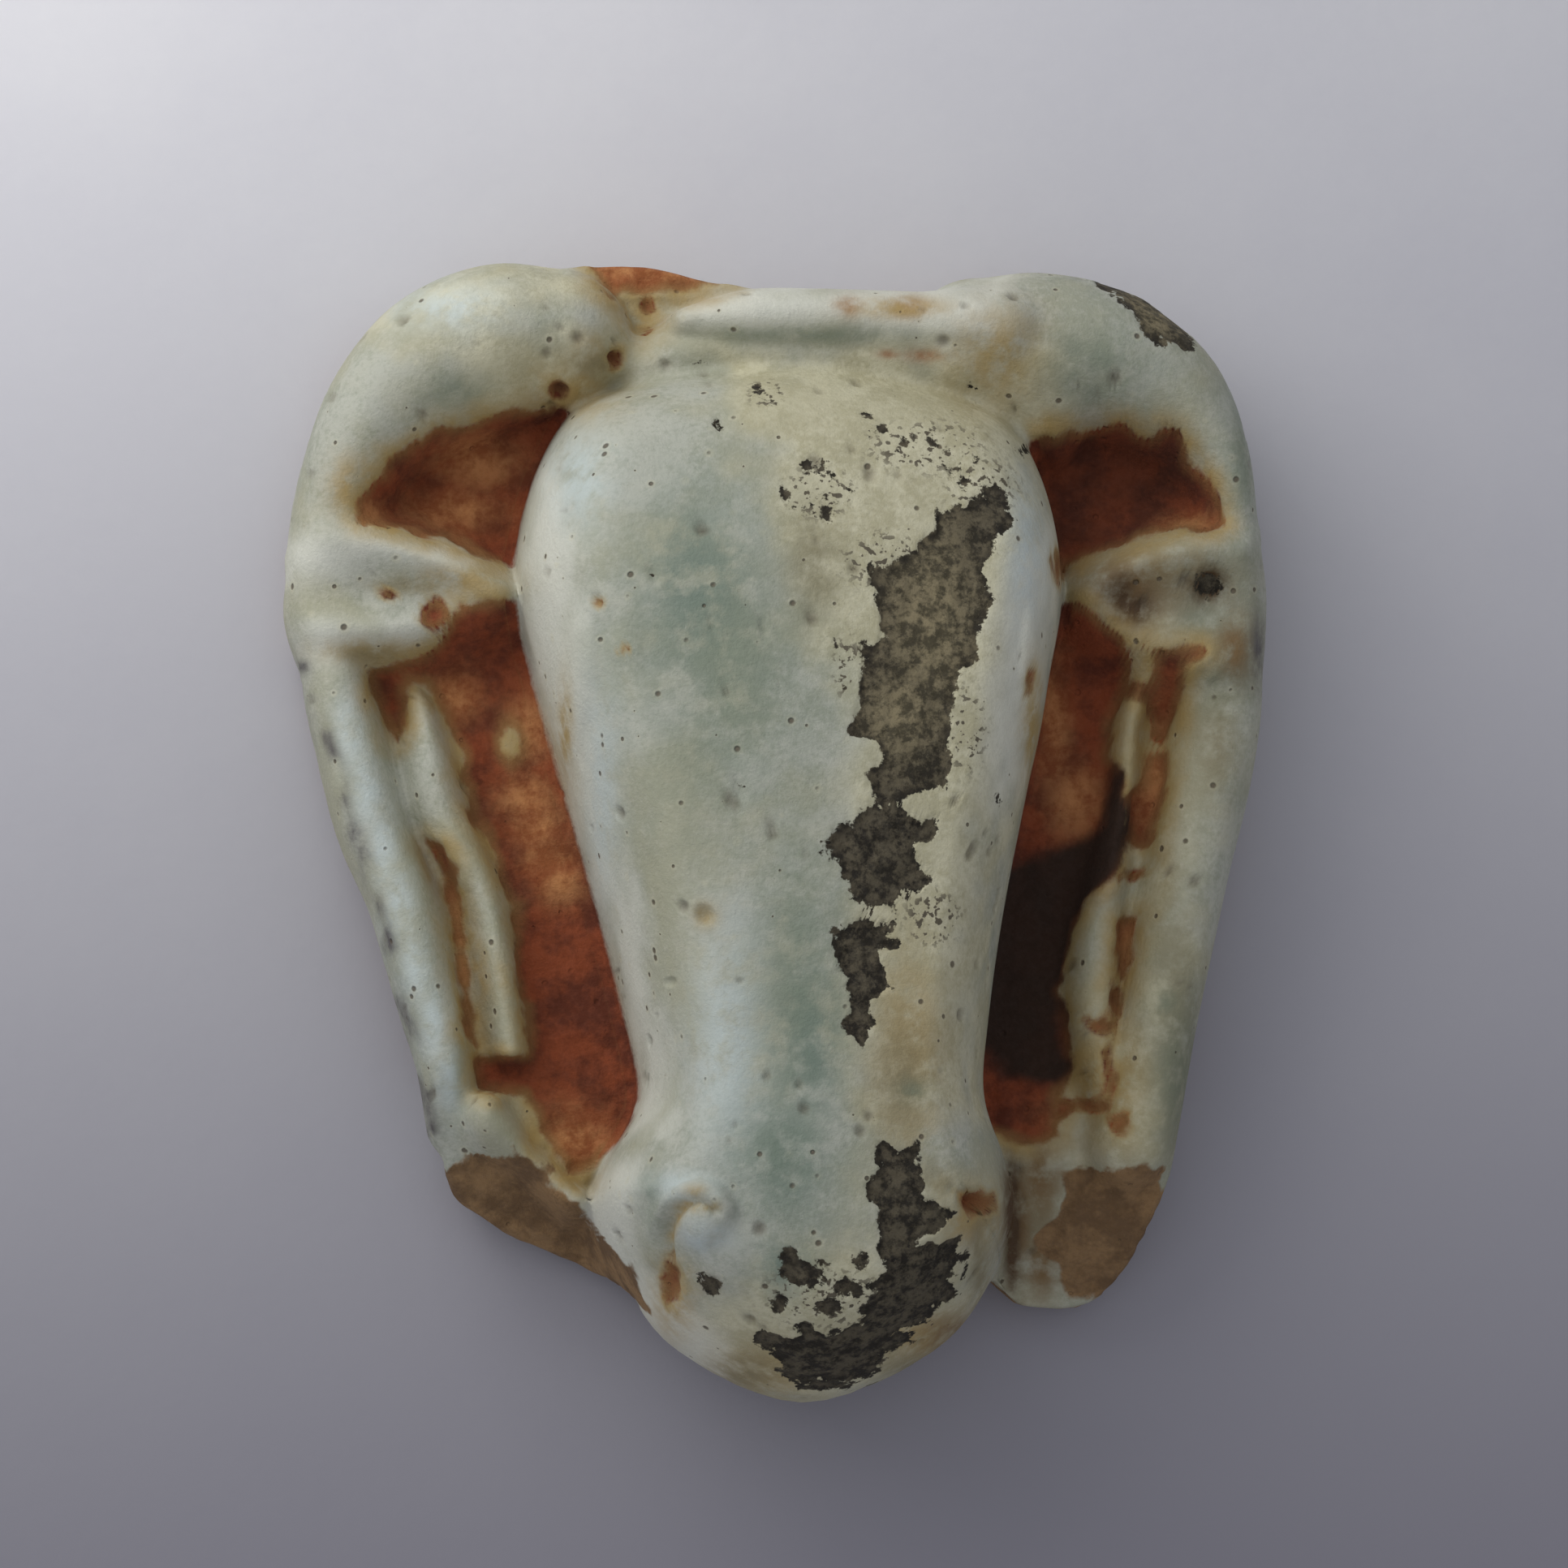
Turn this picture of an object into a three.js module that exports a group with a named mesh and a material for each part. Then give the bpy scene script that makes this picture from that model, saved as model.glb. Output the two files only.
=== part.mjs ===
// Ram's head amulet of glazed faience, one solid piece that lies on its flat back.
// Millimetres. +Z is up, out of the face; the muzzle points to -Y and the horns to +Y.
//
// The amulet was pressed in an open mould, so its whole front is one height over the plan:
// a slab, and on it the horns, ears, side bands, poll band and the head, blended together.

import * as THREE from 'three';

// Driving dimensions
const LENGTH = 30.4; // horns to chin, the length that the stations below are shares of
const WIDTH = 26.0; // ear to ear, the width that the stations below are shares of
const FLOOR_HEIGHT = 3.0; // the sunk ground between the forms, over the back
const FACE_RISE = 6.8; // every rise is measured from that ground
const HORN_RISE = 3.2;
const POLL_RISE = 3.1;
const SADDLE_RISE = 2.5; // the neck between the horns, under the poll band
const EAR_RISE = 2.5;
const BAND_RISE = 1.7;
const TIP_RISE = 1.25;
const CHIN_RISE = 1.0;
const EAR_HOLLOW = 0.8;
const EAR_RIM_ROUND = 0.5;
const EAR_RIM_DROP = 0.9; // how far the ear falls to its edge
const EAR_TILT = 0.35; // the upper rim stands this much higher than the ear's middle
const KNOB_RISE = 2.1; // the round end of the left side's inner ridge
const LEFT_BREAK_RISE = 0.9; // height at which the broken corners start
const RIGHT_BREAK_RISE = 1.3;
const EYE_LENGTH = 4.2;
const EYE_WIDTH = 1.24;
const EYE_RISE = 0.42;
const NOSTRIL_RADIUS = 0.85;
const NOSTRIL_RISE = 0.35;
const EDGE_ROUND = 0.5; // how far the slab's edge draws in towards the back
const CHIN_ROUND = 2.2; // the same under the muzzle
const BLEND = 0.3; // soft joint where two forms meet
const EAR_BLEND = 0.2;
const OVERHANG = 2.2; // least width kept for the rings outside the head
const OVERHANG_BLEND = 0.5;
const WEAR = 0.3; // the front is worn soft: each height is the mean over this distance around it
const GLAZE_COLOUR = 0xc6ccb8;

// Fineness of the surface
const RAYS = 150;
const HEAD_RINGS = 9;
const SIDE_RINGS = 19;
const EDGE_RINGS = 4;
const SPAN_STEPS = 6;
const OUTLINE_STEPS = 720;
const WALK_STEPS = 60; // steps that find where a ray leaves the outline
const WALK_SHARE = 0.8; // share of the distance to the outline that one such step goes

// The rays of the surface start under this point of the head
const CENTRE = [0.01, -0.183];

// Stations of the head, crown to muzzle: place along the length, half width, lean of the middle
const HEAD = [
  [0.37, 0.185, 0.006],
  [0.315, 0.25, 0.008],
  [0.21, 0.277, 0.008],
  [0.11, 0.2565, 0.012],
  [-0.072, 0.205, 0.02],
  [-0.18, 0.179, 0.027],
  [-0.243, 0.1715, 0.03],
  [-0.296, 0.197, 0.024],
  [-0.338, 0.2085, 0.022],
  [-0.397, 0.182, 0.026],
  [-0.457, 0.126, 0.024],
];
const CROWN_END = [0.0, 0.392];
const MUZZLE_END = [0.022, -0.4995];

// Profile of the face along its middle: place along the length, share of the face's rise
const FACE_PROFILE = [
  [0.392, 0.51],
  [0.35, 0.61],
  [0.28, 0.76],
  [0.18, 0.878],
  [0.05, 0.95],
  [-0.08, 0.971],
  [-0.22, 0.978],
  [-0.33, 1.0],
  [-0.4, 0.95],
  [-0.455, 0.813],
  [-0.5, 0.625],
];
const FACE_CROWN = 0.144; // how far the face falls from its middle to its sides, share of its rise

// Width of the rounded wall round the head: place along the length, share of the width
const WALL_WIDTH = [
  [0.39, 0.069],
  [0.3, 0.088],
  [-0.1, 0.081],
  [-0.3, 0.081],
  [-0.4, 0.104],
  [-0.5, 0.123],
];

// Swept ridges on each side: place across, place along, half width, share of the ridge's rise
const LEFT_HORN = [
  [-0.228, 0.415, 0.078, 0.9],
  [-0.29, 0.411, 0.086, 1.0],
  [-0.35, 0.388, 0.084, 0.98],
  [-0.402, 0.345, 0.07, 0.88],
  [-0.438, 0.29, 0.052, 0.73],
  [-0.462, 0.225, 0.04, 0.54],
];
const RIGHT_HORN = [
  [0.2, 0.415, 0.076, 0.9],
  [0.262, 0.412, 0.086, 1.0],
  [0.335, 0.401, 0.082, 0.98],
  [0.402, 0.368, 0.064, 0.87],
  [0.444, 0.318, 0.04, 0.73],
  [0.466, 0.25, 0.026, 0.54],
];
const LEFT_BAND = [
  [-0.452, 0.105, 0.038, 0.94],
  [-0.411, -0.005, 0.036, 1.0],
  [-0.379, -0.074, 0.034, 1.0],
  [-0.357, -0.142, 0.032, 1.0],
  [-0.335, -0.211, 0.029, 0.94],
  [-0.325, -0.266, 0.026, 0.8],
];
const RIGHT_BAND = [
  [0.447, 0.106, 0.046, 0.94],
  [0.434, 0.038, 0.046, 1.0],
  [0.415, -0.032, 0.044, 1.0],
  [0.398, -0.102, 0.042, 1.0],
  [0.381, -0.172, 0.04, 1.0],
  [0.362, -0.242, 0.042, 0.94],
  [0.35, -0.28, 0.044, 0.86],
];
const LEFT_TIP = [
  [-0.364, 0.098, 0.01, 0.73],
  [-0.354, 0.048, 0.024, 1.0],
  [-0.339, -0.003, 0.027, 1.07],
  [-0.3, -0.065, 0.02, 1.0],
  [-0.283, -0.127, 0.019, 1.0],
  [-0.269, -0.205, 0.017, 0.9],
];
const RIGHT_TIP = [
  [0.369, 0.139, 0.012, 0.66],
  [0.353, 0.085, 0.014, 0.83],
  [0.345, 0.03, 0.015, 0.83],
  [0.333, -0.025, 0.018, 0.9],
  [0.318, -0.1, 0.026, 1.0],
  [0.313, -0.17, 0.026, 1.0],
  [0.328, -0.24, 0.024, 0.93],
];
const POLL_BAND = [
  [-0.1, 0.426, 0.02, 0.8],
  [-0.04, 0.429, 0.036, 0.98],
  [0.05, 0.428, 0.04, 1.0],
  [0.165, 0.424, 0.042, 1.0],
];
const SADDLE = [
  [-0.07, 0.404, 0.05, 0.9],
  [0.05, 0.404, 0.06, 1.0],
  [0.18, 0.4, 0.06, 1.0],
];
const LEFT_KNOB = [
  [-0.294, -0.258, 0.025, 0.92],
  [-0.286, -0.27, 0.026, 0.86],
  [-0.25, -0.297, 0.016, 0.5],
  [-0.205, -0.33, 0.016, 0.4],
];

// How full a ridge's cross-section is: 2 is a half ellipse, more is flatter on top
const HORN_FULLNESS = 2.0;
const BAND_FULLNESS = 2.2;
const TIP_FULLNESS = 1.6;
const POLL_FULLNESS = 2.2;
const SADDLE_FULLNESS = 2.0;
const KNOB_FULLNESS = 2.0;

// The shape of an ear: each a share of its own width, length or rise
const EAR_ROOT = 0.2; // width at the root
const EAR_WIDEST = 0.8; // place along it where it is widest
const EAR_SWELL = 0.9; // power of the sine that it widens by
const EAR_END_ROUND = 0.1; // how far its outer end draws in at the corners
const EAR_END_POWER = 2.5;
const EAR_ROOT_DROP = 0.22; // how much lower the root and the outer end lie
const EAR_END_DROP = 0.35;
const EAR_BOWL = 0.8; // width of its hollow
const EAR_BOWL_ROOT = 0.3; // how far the hollow runs out towards the root and the outer end
const EAR_BOWL_END = 0.35;
const EAR_FALL = 1.6; // slope outside an ear's outline

// Ears: inner end, outer end, half width as a share of the length
const LEFT_EAR = { inner: [-0.262, 0.176], outer: [-0.502, 0.192], half: 0.06, side: -1 };
const RIGHT_EAR = { inner: [0.285, 0.186], outer: [0.496, 0.176], half: 0.073, side: 1 };

const EYES = [
  { place: [-0.2135, 0.093], lean: 0.1 },
  { place: [0.2445, 0.097], lean: -0.08 },
];
const NOSTRILS = [
  [-0.09, -0.348],
  [0.153, -0.345],
];

// Outline of the slab under everything, from the left horn by the right one to the muzzle and back
const SLAB = [
  [-0.3, 0.47],
  [-0.16, 0.492],
  [-0.05, 0.474],
  [0.08, 0.462],
  [0.2, 0.468],
  [0.33, 0.46],
  [0.455, 0.37],
  [0.483, 0.25],
  [0.486, 0.12],
  [0.462, 0.03],
  [0.43, -0.12],
  [0.403, -0.26],
  [0.385, -0.325],
  [0.33, -0.404],
  [0.255, -0.414],
  [0.195, -0.392],
  [0.02, -0.44],
  [-0.115, -0.415],
  [-0.2, -0.378],
  [-0.285, -0.347],
  [-0.328, -0.315],
  [-0.342, -0.255],
  [-0.378, -0.145],
  [-0.434, 0.0],
  [-0.47, 0.1],
  [-0.478, 0.25],
  [-0.44, 0.38],
];

// Broken lower corners: two points of the line where the break starts, the height there over the
// ground, and how steeply the broken body falls away past it
const BREAKS = [
  { from: [-0.335, -0.275], to: [-0.185, -0.335], start: LEFT_BREAK_RISE, slope: 1.25 },
  { from: [0.23, -0.285], to: [0.39, -0.3], start: RIGHT_BREAK_RISE, slope: 0.85 },
];

// Where the ground starts to rise under the muzzle, over what length, and to what half width
const CHIN = { start: -0.36, run: 0.06, half: 0.24 };

const OUTER_FALL = 3.5; // slope of a form outside its own outline, so that others cover it

const clamp = THREE.MathUtils.clamp;
const place = ([x, y]) => [x * WIDTH, y * LENGTH];

function smoothMax(a, b, width = BLEND) {
  const share = clamp(0.5 + (0.5 * (a - b)) / width, 0, 1);
  return b + (a - b) * share + width * share * (1 - share);
}

function smoothMin(a, b, width = BLEND) {
  return -smoothMax(-a, -b, width);
}

// A smooth line through stations, as short straight steps that keep half width and rise
function lineThrough(stations, closed = false) {
  const middles = stations.map(([x, y]) => new THREE.Vector3(x * WIDTH, y * LENGTH, 0));
  const sections = stations.map(([, , half = 0, rise = 0]) => new THREE.Vector3(half * WIDTH, rise, 0));
  const middle = new THREE.CatmullRomCurve3(middles, closed, 'catmullrom', 0.5);
  const section = new THREE.CatmullRomCurve3(sections, closed, 'catmullrom', 0.5);
  const spans = closed ? stations.length : stations.length - 1;
  const steps = spans * SPAN_STEPS;
  const line = [];
  for (let step = 0; step <= steps; step += 1) {
    const at = middle.getPoint(step / steps);
    const size = section.getPoint(step / steps);
    line.push({ x: at.x, y: at.y, half: size.x, rise: size.y });
  }
  return line;
}

// Nearest place on a line: its distance, and the half width and rise there
function nearest(line, x, y) {
  const found = { distance: Infinity, half: 0, rise: 0 };
  for (let i = 0; i + 1 < line.length; i += 1) {
    const a = line[i];
    const b = line[i + 1];
    const dx = b.x - a.x;
    const dy = b.y - a.y;
    const along = clamp(((x - a.x) * dx + (y - a.y) * dy) / (dx * dx + dy * dy), 0, 1);
    const distance = Math.hypot(x - a.x - along * dx, y - a.y - along * dy);
    if (distance < found.distance) {
      found.distance = distance;
      found.half = a.half + (b.half - a.half) * along;
      found.rise = a.rise + (b.rise - a.rise) * along;
    }
  }
  return found;
}

// Distance to a closed line, negative inside it
function signedDistance(line, x, y) {
  let inside = false;
  for (let i = 0; i + 1 < line.length; i += 1) {
    const a = line[i];
    const b = line[i + 1];
    const crosses = a.y > y !== b.y > y;
    if (crosses && x < ((b.x - a.x) * (y - a.y)) / (b.y - a.y) + a.x) {
      inside = !inside;
    }
  }
  const { distance } = nearest(line, x, y);
  return inside ? -distance : distance;
}

// Value at one place of a table of rising [place, value] rows, straight between the rows
function valueAt(table, at) {
  const upper = table.findIndex((row) => row[0] >= at);
  if (upper === 0) {
    return table[0][1];
  }
  if (upper < 0) {
    return table[table.length - 1][1];
  }
  const [low, high] = [table[upper - 1], table[upper]];
  const share = (at - low[0]) / (high[0] - low[0]);
  return low[1] + (high[1] - low[1]) * share;
}

// A table of [place, value] rows with smooth steps between stations that run down the head
function smoothTable(rows) {
  const points = rows.map(([at, value]) => new THREE.Vector3(at, value, 0)).reverse();
  const curve = new THREE.CatmullRomCurve3(points, false, 'catmullrom', 0.5);
  const steps = (rows.length - 1) * SPAN_STEPS;
  return curve.getPoints(steps).map((point) => [point.x, point.y]);
}

function headLine() {
  const left = HEAD.map(([along, half, lean]) => [lean - half, along]);
  const right = HEAD.map(([along, half, lean]) => [lean + half, along]);
  return lineThrough([CROWN_END, ...left, MUZZLE_END, ...right.reverse()], true);
}

const slabLine = lineThrough(SLAB, true);
const head = headLine();
const headHalf = smoothTable(HEAD.map(([along, half]) => [along, half]));
const headLean = smoothTable(HEAD.map(([along, , lean]) => [along, lean]));
const faceProfile = smoothTable(FACE_PROFILE);
const wallWidth = smoothTable(WALL_WIDTH);
const ridges = [
  [LEFT_HORN, HORN_RISE, HORN_FULLNESS],
  [RIGHT_HORN, HORN_RISE, HORN_FULLNESS],
  [LEFT_BAND, BAND_RISE, BAND_FULLNESS],
  [RIGHT_BAND, BAND_RISE, BAND_FULLNESS],
  [LEFT_TIP, TIP_RISE, TIP_FULLNESS],
  [RIGHT_TIP, TIP_RISE, TIP_FULLNESS],
  [SADDLE, SADDLE_RISE, SADDLE_FULLNESS],
  [POLL_BAND, POLL_RISE, POLL_FULLNESS],
  [LEFT_KNOB, KNOB_RISE, KNOB_FULLNESS],
].map(([stations, rise, fullness]) => ({ line: lineThrough(stations), rise, fullness }));

// Each form below gives its height at a place, and the distance to its outline, negative inside

function ridgeForm(ridge, x, y) {
  const near = nearest(ridge.line, x, y);
  const across = near.distance / near.half;
  const dome = Math.sqrt(clamp(1 - across ** ridge.fullness, 0, 1));
  const outside = near.distance - near.half;
  const height = FLOOR_HEIGHT + ridge.rise * near.rise * dome - OUTER_FALL * Math.max(outside, 0);
  return { height, outside };
}

// A leaf from a narrow root to a broad rounded end, hollowed along its middle
function earForm(ear, x, y) {
  const [innerX, innerY] = place(ear.inner);
  const [outerX, outerY] = place(ear.outer);
  const length = Math.hypot(outerX - innerX, outerY - innerY);
  const axisX = (outerX - innerX) / length;
  const axisY = (outerY - innerY) / length;
  const along = ((x - innerX) * axisX + (y - innerY) * axisY) / length;
  const across = ((y - innerY) * axisX - (x - innerX) * axisY) * ear.side;
  const reach = clamp(along, 0, 1);
  const swell = Math.sin(0.5 * Math.PI * clamp(reach / EAR_WIDEST, 0, 1)) ** EAR_SWELL;
  const half = ear.half * LENGTH * (EAR_ROOT + (1 - EAR_ROOT) * swell);
  const share = Math.abs(across) / half;
  const end = 1 - EAR_END_ROUND * Math.min(share, 1) ** EAR_END_POWER;
  const outside = Math.max(Math.abs(across) - half, Math.max(-along, along - end) * length);
  const drop = EAR_ROOT_DROP * (1 - reach) ** 2 + EAR_END_DROP * reach ** 4;
  const tilt = EAR_TILT * clamp(across / half, -1, 1);
  const bowlAlong = clamp(reach / EAR_BOWL_ROOT, 0, 1) * clamp((1 - reach) / EAR_BOWL_END, 0, 1);
  const bowl = EAR_HOLLOW * bowlAlong * clamp(1 - (share / EAR_BOWL) ** 2, 0, 1);
  const rim = EAR_RIM_DROP * clamp(1 + outside / EAR_RIM_ROUND, 0, 1) ** 2;
  const crest = FLOOR_HEIGHT + EAR_RISE * (1 - drop) + tilt;
  const height = crest - bowl - rim - EAR_FALL * Math.max(outside, 0);
  return { height, outside };
}

function eyeRise(x, y) {
  let rise = 0;
  for (const eye of EYES) {
    const [eyeX, eyeY] = place(eye.place);
    const along = (y - eyeY) / (EYE_LENGTH / 2);
    const across = (x - eyeX - eye.lean * (y - eyeY)) / (EYE_WIDTH / 2);
    const lid = clamp(1 - along * along, 0, 1);
    const dome = lid > 0 ? clamp(1 - (across * across) / lid, 0, 1) : 0;
    rise += EYE_RISE * dome * lid;
  }
  return rise;
}

function nostrilRise(x, y) {
  let rise = 0;
  for (const nostril of NOSTRILS) {
    const [ballX, ballY] = place(nostril);
    const share = Math.hypot(x - ballX, y - ballY) / NOSTRIL_RADIUS;
    rise += NOSTRIL_RISE * clamp(1 - share * share, 0, 1);
  }
  return rise;
}

// The ground rises under the muzzle to carry the chin
function groundHeight(x, y) {
  const lean = HEAD[HEAD.length - 1][2];
  const along = clamp((CHIN.start - y / LENGTH) / CHIN.run, 0, 1);
  const across = Math.sqrt(clamp(1 - Math.abs(x / WIDTH - lean) / CHIN.half, 0, 1));
  return FLOOR_HEIGHT + CHIN_RISE * along * across;
}

function headForm(x, y, ground) {
  const along = y / LENGTH;
  const outside = signedDistance(head, x, y);
  const side = clamp((x / WIDTH - valueAt(headLean, along)) / valueAt(headHalf, along), -1, 1);
  const top = FLOOR_HEIGHT + FACE_RISE * (valueAt(faceProfile, along) - FACE_CROWN * side * side);
  const inward = clamp(-outside / (valueAt(wallWidth, along) * WIDTH), 0, 1);
  const dome = Math.sqrt(1 - (1 - inward) ** 2);
  const carved = eyeRise(x, y) + nostrilRise(x, y);
  const height = ground + (top - ground) * dome + carved - OUTER_FALL * Math.max(outside, 0);
  return { height, outside };
}

function breakHeight(corner, x, y) {
  const [fromX, fromY] = place(corner.from);
  const [toX, toY] = place(corner.to);
  const length = Math.hypot(toX - fromX, toY - fromY);
  const past = ((x - fromX) * (toY - fromY) - (y - fromY) * (toX - fromX)) / length;
  return FLOOR_HEIGHT + corner.start - corner.slope * past;
}

// Height of the whole front at a place, and the distance to the whole outline
function front(x, y) {
  const ground = groundHeight(x, y);
  let outside = signedDistance(slabLine, x, y);
  let height = ground - OUTER_FALL * Math.max(outside, 0);
  for (const ridge of ridges) {
    const form = ridgeForm(ridge, x, y);
    height = smoothMax(height, form.height);
    outside = smoothMin(outside, form.outside);
  }
  for (const ear of [LEFT_EAR, RIGHT_EAR]) {
    const form = earForm(ear, x, y);
    height = smoothMax(height, form.height, EAR_BLEND);
    outside = smoothMin(outside, form.outside);
  }
  for (const corner of BREAKS) {
    height = smoothMin(height, breakHeight(corner, x, y));
  }
  const face = headForm(x, y, ground);
  return { height: smoothMax(height, face.height), outside: smoothMin(outside, face.outside) };
}

function wornHeight(x, y) {
  const patch = [[0, 0], [WEAR, 0], [-WEAR, 0], [0, WEAR], [0, -WEAR]];
  const heights = patch.map(([dx, dy]) => front(x + dx, y + dy).height);
  return heights.reduce((sum, height) => sum + height, 0) / patch.length;
}

const [centreX, centreY] = place(CENTRE);

// Where a ray from the centre leaves an outline, walking in from outside
function reachOf(distanceAt, cos, sin) {
  let reach = LENGTH + WIDTH;
  for (let step = 0; step < WALK_STEPS; step += 1) {
    reach -= WALK_SHARE * distanceAt(centreX + reach * cos, centreY + reach * sin);
  }
  return reach;
}

// Ray directions at even steps along the outline
function rayAngles() {
  const outline = [];
  for (let step = 0; step <= OUTLINE_STEPS; step += 1) {
    const angle = (2 * Math.PI * step) / OUTLINE_STEPS;
    const reach = reachOf((x, y) => front(x, y).outside, Math.cos(angle), Math.sin(angle));
    outline.push({ angle, x: reach * Math.cos(angle), y: reach * Math.sin(angle), run: 0 });
  }
  for (let step = 1; step <= OUTLINE_STEPS; step += 1) {
    const [a, b] = [outline[step - 1], outline[step]];
    b.run = a.run + Math.hypot(b.x - a.x, b.y - a.y);
  }
  const total = outline[OUTLINE_STEPS].run;
  const table = outline.map(({ run, angle }) => [run, angle]);
  return Array.from({ length: RAYS }, (_, ray) => valueAt(table, (total * (ray + 0.5)) / RAYS));
}

// How far the lower edge draws in: more under the muzzle, which overhangs
function edgeRound(x, y) {
  const muzzle = clamp((groundHeight(x, y) - FLOOR_HEIGHT) / CHIN_RISE, 0, 1);
  return EDGE_ROUND + (CHIN_ROUND - EDGE_ROUND) * muzzle;
}

// The points of one ray, from beside the centre over the front and round the edge to the back
function rayPoints(angle) {
  const cos = Math.cos(angle);
  const sin = Math.sin(angle);
  const point = (reach, height) => [centreX + reach * cos, centreY + reach * sin, height];
  const onFront = (reach) => {
    const [x, y] = point(reach, 0);
    return [x, y, wornHeight(x, y)];
  };
  const outline = reachOf((x, y) => front(x, y).outside, cos, sin);
  const headEdge = reachOf((x, y) => signedDistance(head, x, y), cos, sin);
  const split = smoothMin(headEdge, outline - OVERHANG, OVERHANG_BLEND);
  const points = [];
  for (let ring = 1; ring <= HEAD_RINGS; ring += 1) {
    points.push(onFront(split * Math.sin((0.5 * Math.PI * ring) / HEAD_RINGS)));
  }
  for (let ring = 1; ring <= SIDE_RINGS; ring += 1) {
    points.push(onFront(split + ((outline - split) * ring) / SIDE_RINGS));
  }
  const rim = points[points.length - 1];
  const inset = edgeRound(rim[0], rim[1]);
  for (let ring = 1; ring <= EDGE_RINGS; ring += 1) {
    const turn = (0.5 * Math.PI * ring) / EDGE_RINGS;
    points.push(point(outline - inset * (1 - Math.cos(turn)), rim[2] * (1 - Math.sin(turn))));
  }
  points[points.length - 1][2] = 0;
  return points;
}

function amuletGeometry() {
  const rays = rayAngles().map(rayPoints);
  const rings = HEAD_RINGS + SIDE_RINGS + EDGE_RINGS;
  const vertices = [[centreX, centreY, wornHeight(centreX, centreY)]];
  for (let ring = 0; ring < rings; ring += 1) {
    for (const points of rays) {
      vertices.push(points[ring]);
    }
  }
  vertices.push([centreX, centreY, 0]);

  const last = vertices.length - 1;
  const at = (ring, ray) => 1 + ring * RAYS + (ray % RAYS);
  const span = (a, b) => Math.hypot(...vertices[a].map((value, axis) => value - vertices[b][axis]));
  const faces = [];
  for (let ray = 0; ray < RAYS; ray += 1) {
    faces.push(0, at(0, ray), at(0, ray + 1));
    for (let ring = 0; ring + 1 < rings; ring += 1) {
      const [a, b] = [at(ring, ray), at(ring, ray + 1)];
      const [c, d] = [at(ring + 1, ray), at(ring + 1, ray + 1)];
      if (span(a, d) < span(b, c)) {
        faces.push(a, c, d, a, d, b);
      } else {
        faces.push(a, c, b, b, c, d);
      }
    }
    faces.push(at(rings - 1, ray), last, at(rings - 1, ray + 1));
  }

  const geometry = new THREE.BufferGeometry();
  geometry.setAttribute('position', new THREE.Float32BufferAttribute(vertices.flat(), 3));
  geometry.setIndex(faces);
  geometry.computeBoundingBox();
  const middle = geometry.boundingBox.getCenter(new THREE.Vector3());
  geometry.translate(-middle.x, -middle.y, 0);
  geometry.computeVertexNormals();
  return geometry;
}

const glaze = new THREE.MeshStandardMaterial({ color: GLAZE_COLOUR, roughness: 0.5, metalness: 0.0 });
const amulet = new THREE.Mesh(amuletGeometry(), glaze);
amulet.name = 'ram_head_amulet';

const group = new THREE.Group();
group.add(amulet);

export default group;
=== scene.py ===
# A ram's head amulet of faience: worn, pitted pale green glaze over a red brown body, lying on paper.
import math

import bpy
import numpy as np
from mathutils import Matrix, Vector


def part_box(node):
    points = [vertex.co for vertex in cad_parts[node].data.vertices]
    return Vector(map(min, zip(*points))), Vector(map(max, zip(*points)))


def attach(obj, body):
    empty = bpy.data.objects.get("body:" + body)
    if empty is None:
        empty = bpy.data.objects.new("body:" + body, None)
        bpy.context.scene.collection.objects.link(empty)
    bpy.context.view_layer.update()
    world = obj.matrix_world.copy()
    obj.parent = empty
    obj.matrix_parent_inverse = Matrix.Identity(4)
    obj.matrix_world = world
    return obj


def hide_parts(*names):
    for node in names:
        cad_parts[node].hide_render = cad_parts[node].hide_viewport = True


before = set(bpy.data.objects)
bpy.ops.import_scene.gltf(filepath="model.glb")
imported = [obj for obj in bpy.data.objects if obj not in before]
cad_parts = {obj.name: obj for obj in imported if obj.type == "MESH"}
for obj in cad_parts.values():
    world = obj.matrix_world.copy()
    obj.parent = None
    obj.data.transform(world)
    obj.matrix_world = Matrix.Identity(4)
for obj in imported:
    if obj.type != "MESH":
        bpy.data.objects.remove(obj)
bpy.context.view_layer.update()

MM = 0.001
AMULET = "ram_head_amulet"
low_corner, high_corner = (np.array(corner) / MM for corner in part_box(AMULET))

# Sizes in millimetres, as the solid has them
LENGTH = 30.4
WIDTH = 26.0
FLOOR_HEIGHT = 3.0
FACE_RISE = 6.8
HORN_RISE = 3.2
POLL_RISE = 3.1
SADDLE_RISE = 2.5
EAR_RISE = 2.5
BAND_RISE = 1.7
TIP_RISE = 1.25
CHIN_RISE = 1.0
EAR_HOLLOW = 0.6
EAR_RIM_ROUND = 0.8
EAR_RIM_DROP = 1.05
EAR_TILT = 0.35
KNOB_RISE = 2.1
LEFT_BREAK_RISE = 0.9
RIGHT_BREAK_RISE = 1.3
EYE_LENGTH = 4.2
EYE_WIDTH = 1.24
EYE_RISE = 0.5
NOSTRIL_RADIUS = 0.85
EDGE_ROUND = 0.5
CHIN_ROUND = 2.2
BLEND = 0.3
EAR_BLEND = 0.7
CROWN_BLEND = 1.1
OVERHANG = 2.2
OVERHANG_BLEND = 0.5
OUTER_FALL = 5.0
EAR_FALL = 1.6

# Fineness of the surface
RAYS = 760
# Up to the first share of the head's rings every fourth ray is kept, up to the second every other one
COARSE_UP_TO = (0.18, 0.37)
HEAD_RINGS = 78
SIDE_RINGS = 44
EDGE_RINGS = 10
BACK_RINGS = 4
SPAN_STEPS = 6
OUTLINE_STEPS = 720
WALK_STEPS = 48
WALK_SHARE = 0.8
CENTRE = (0.01, -0.183)
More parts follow.
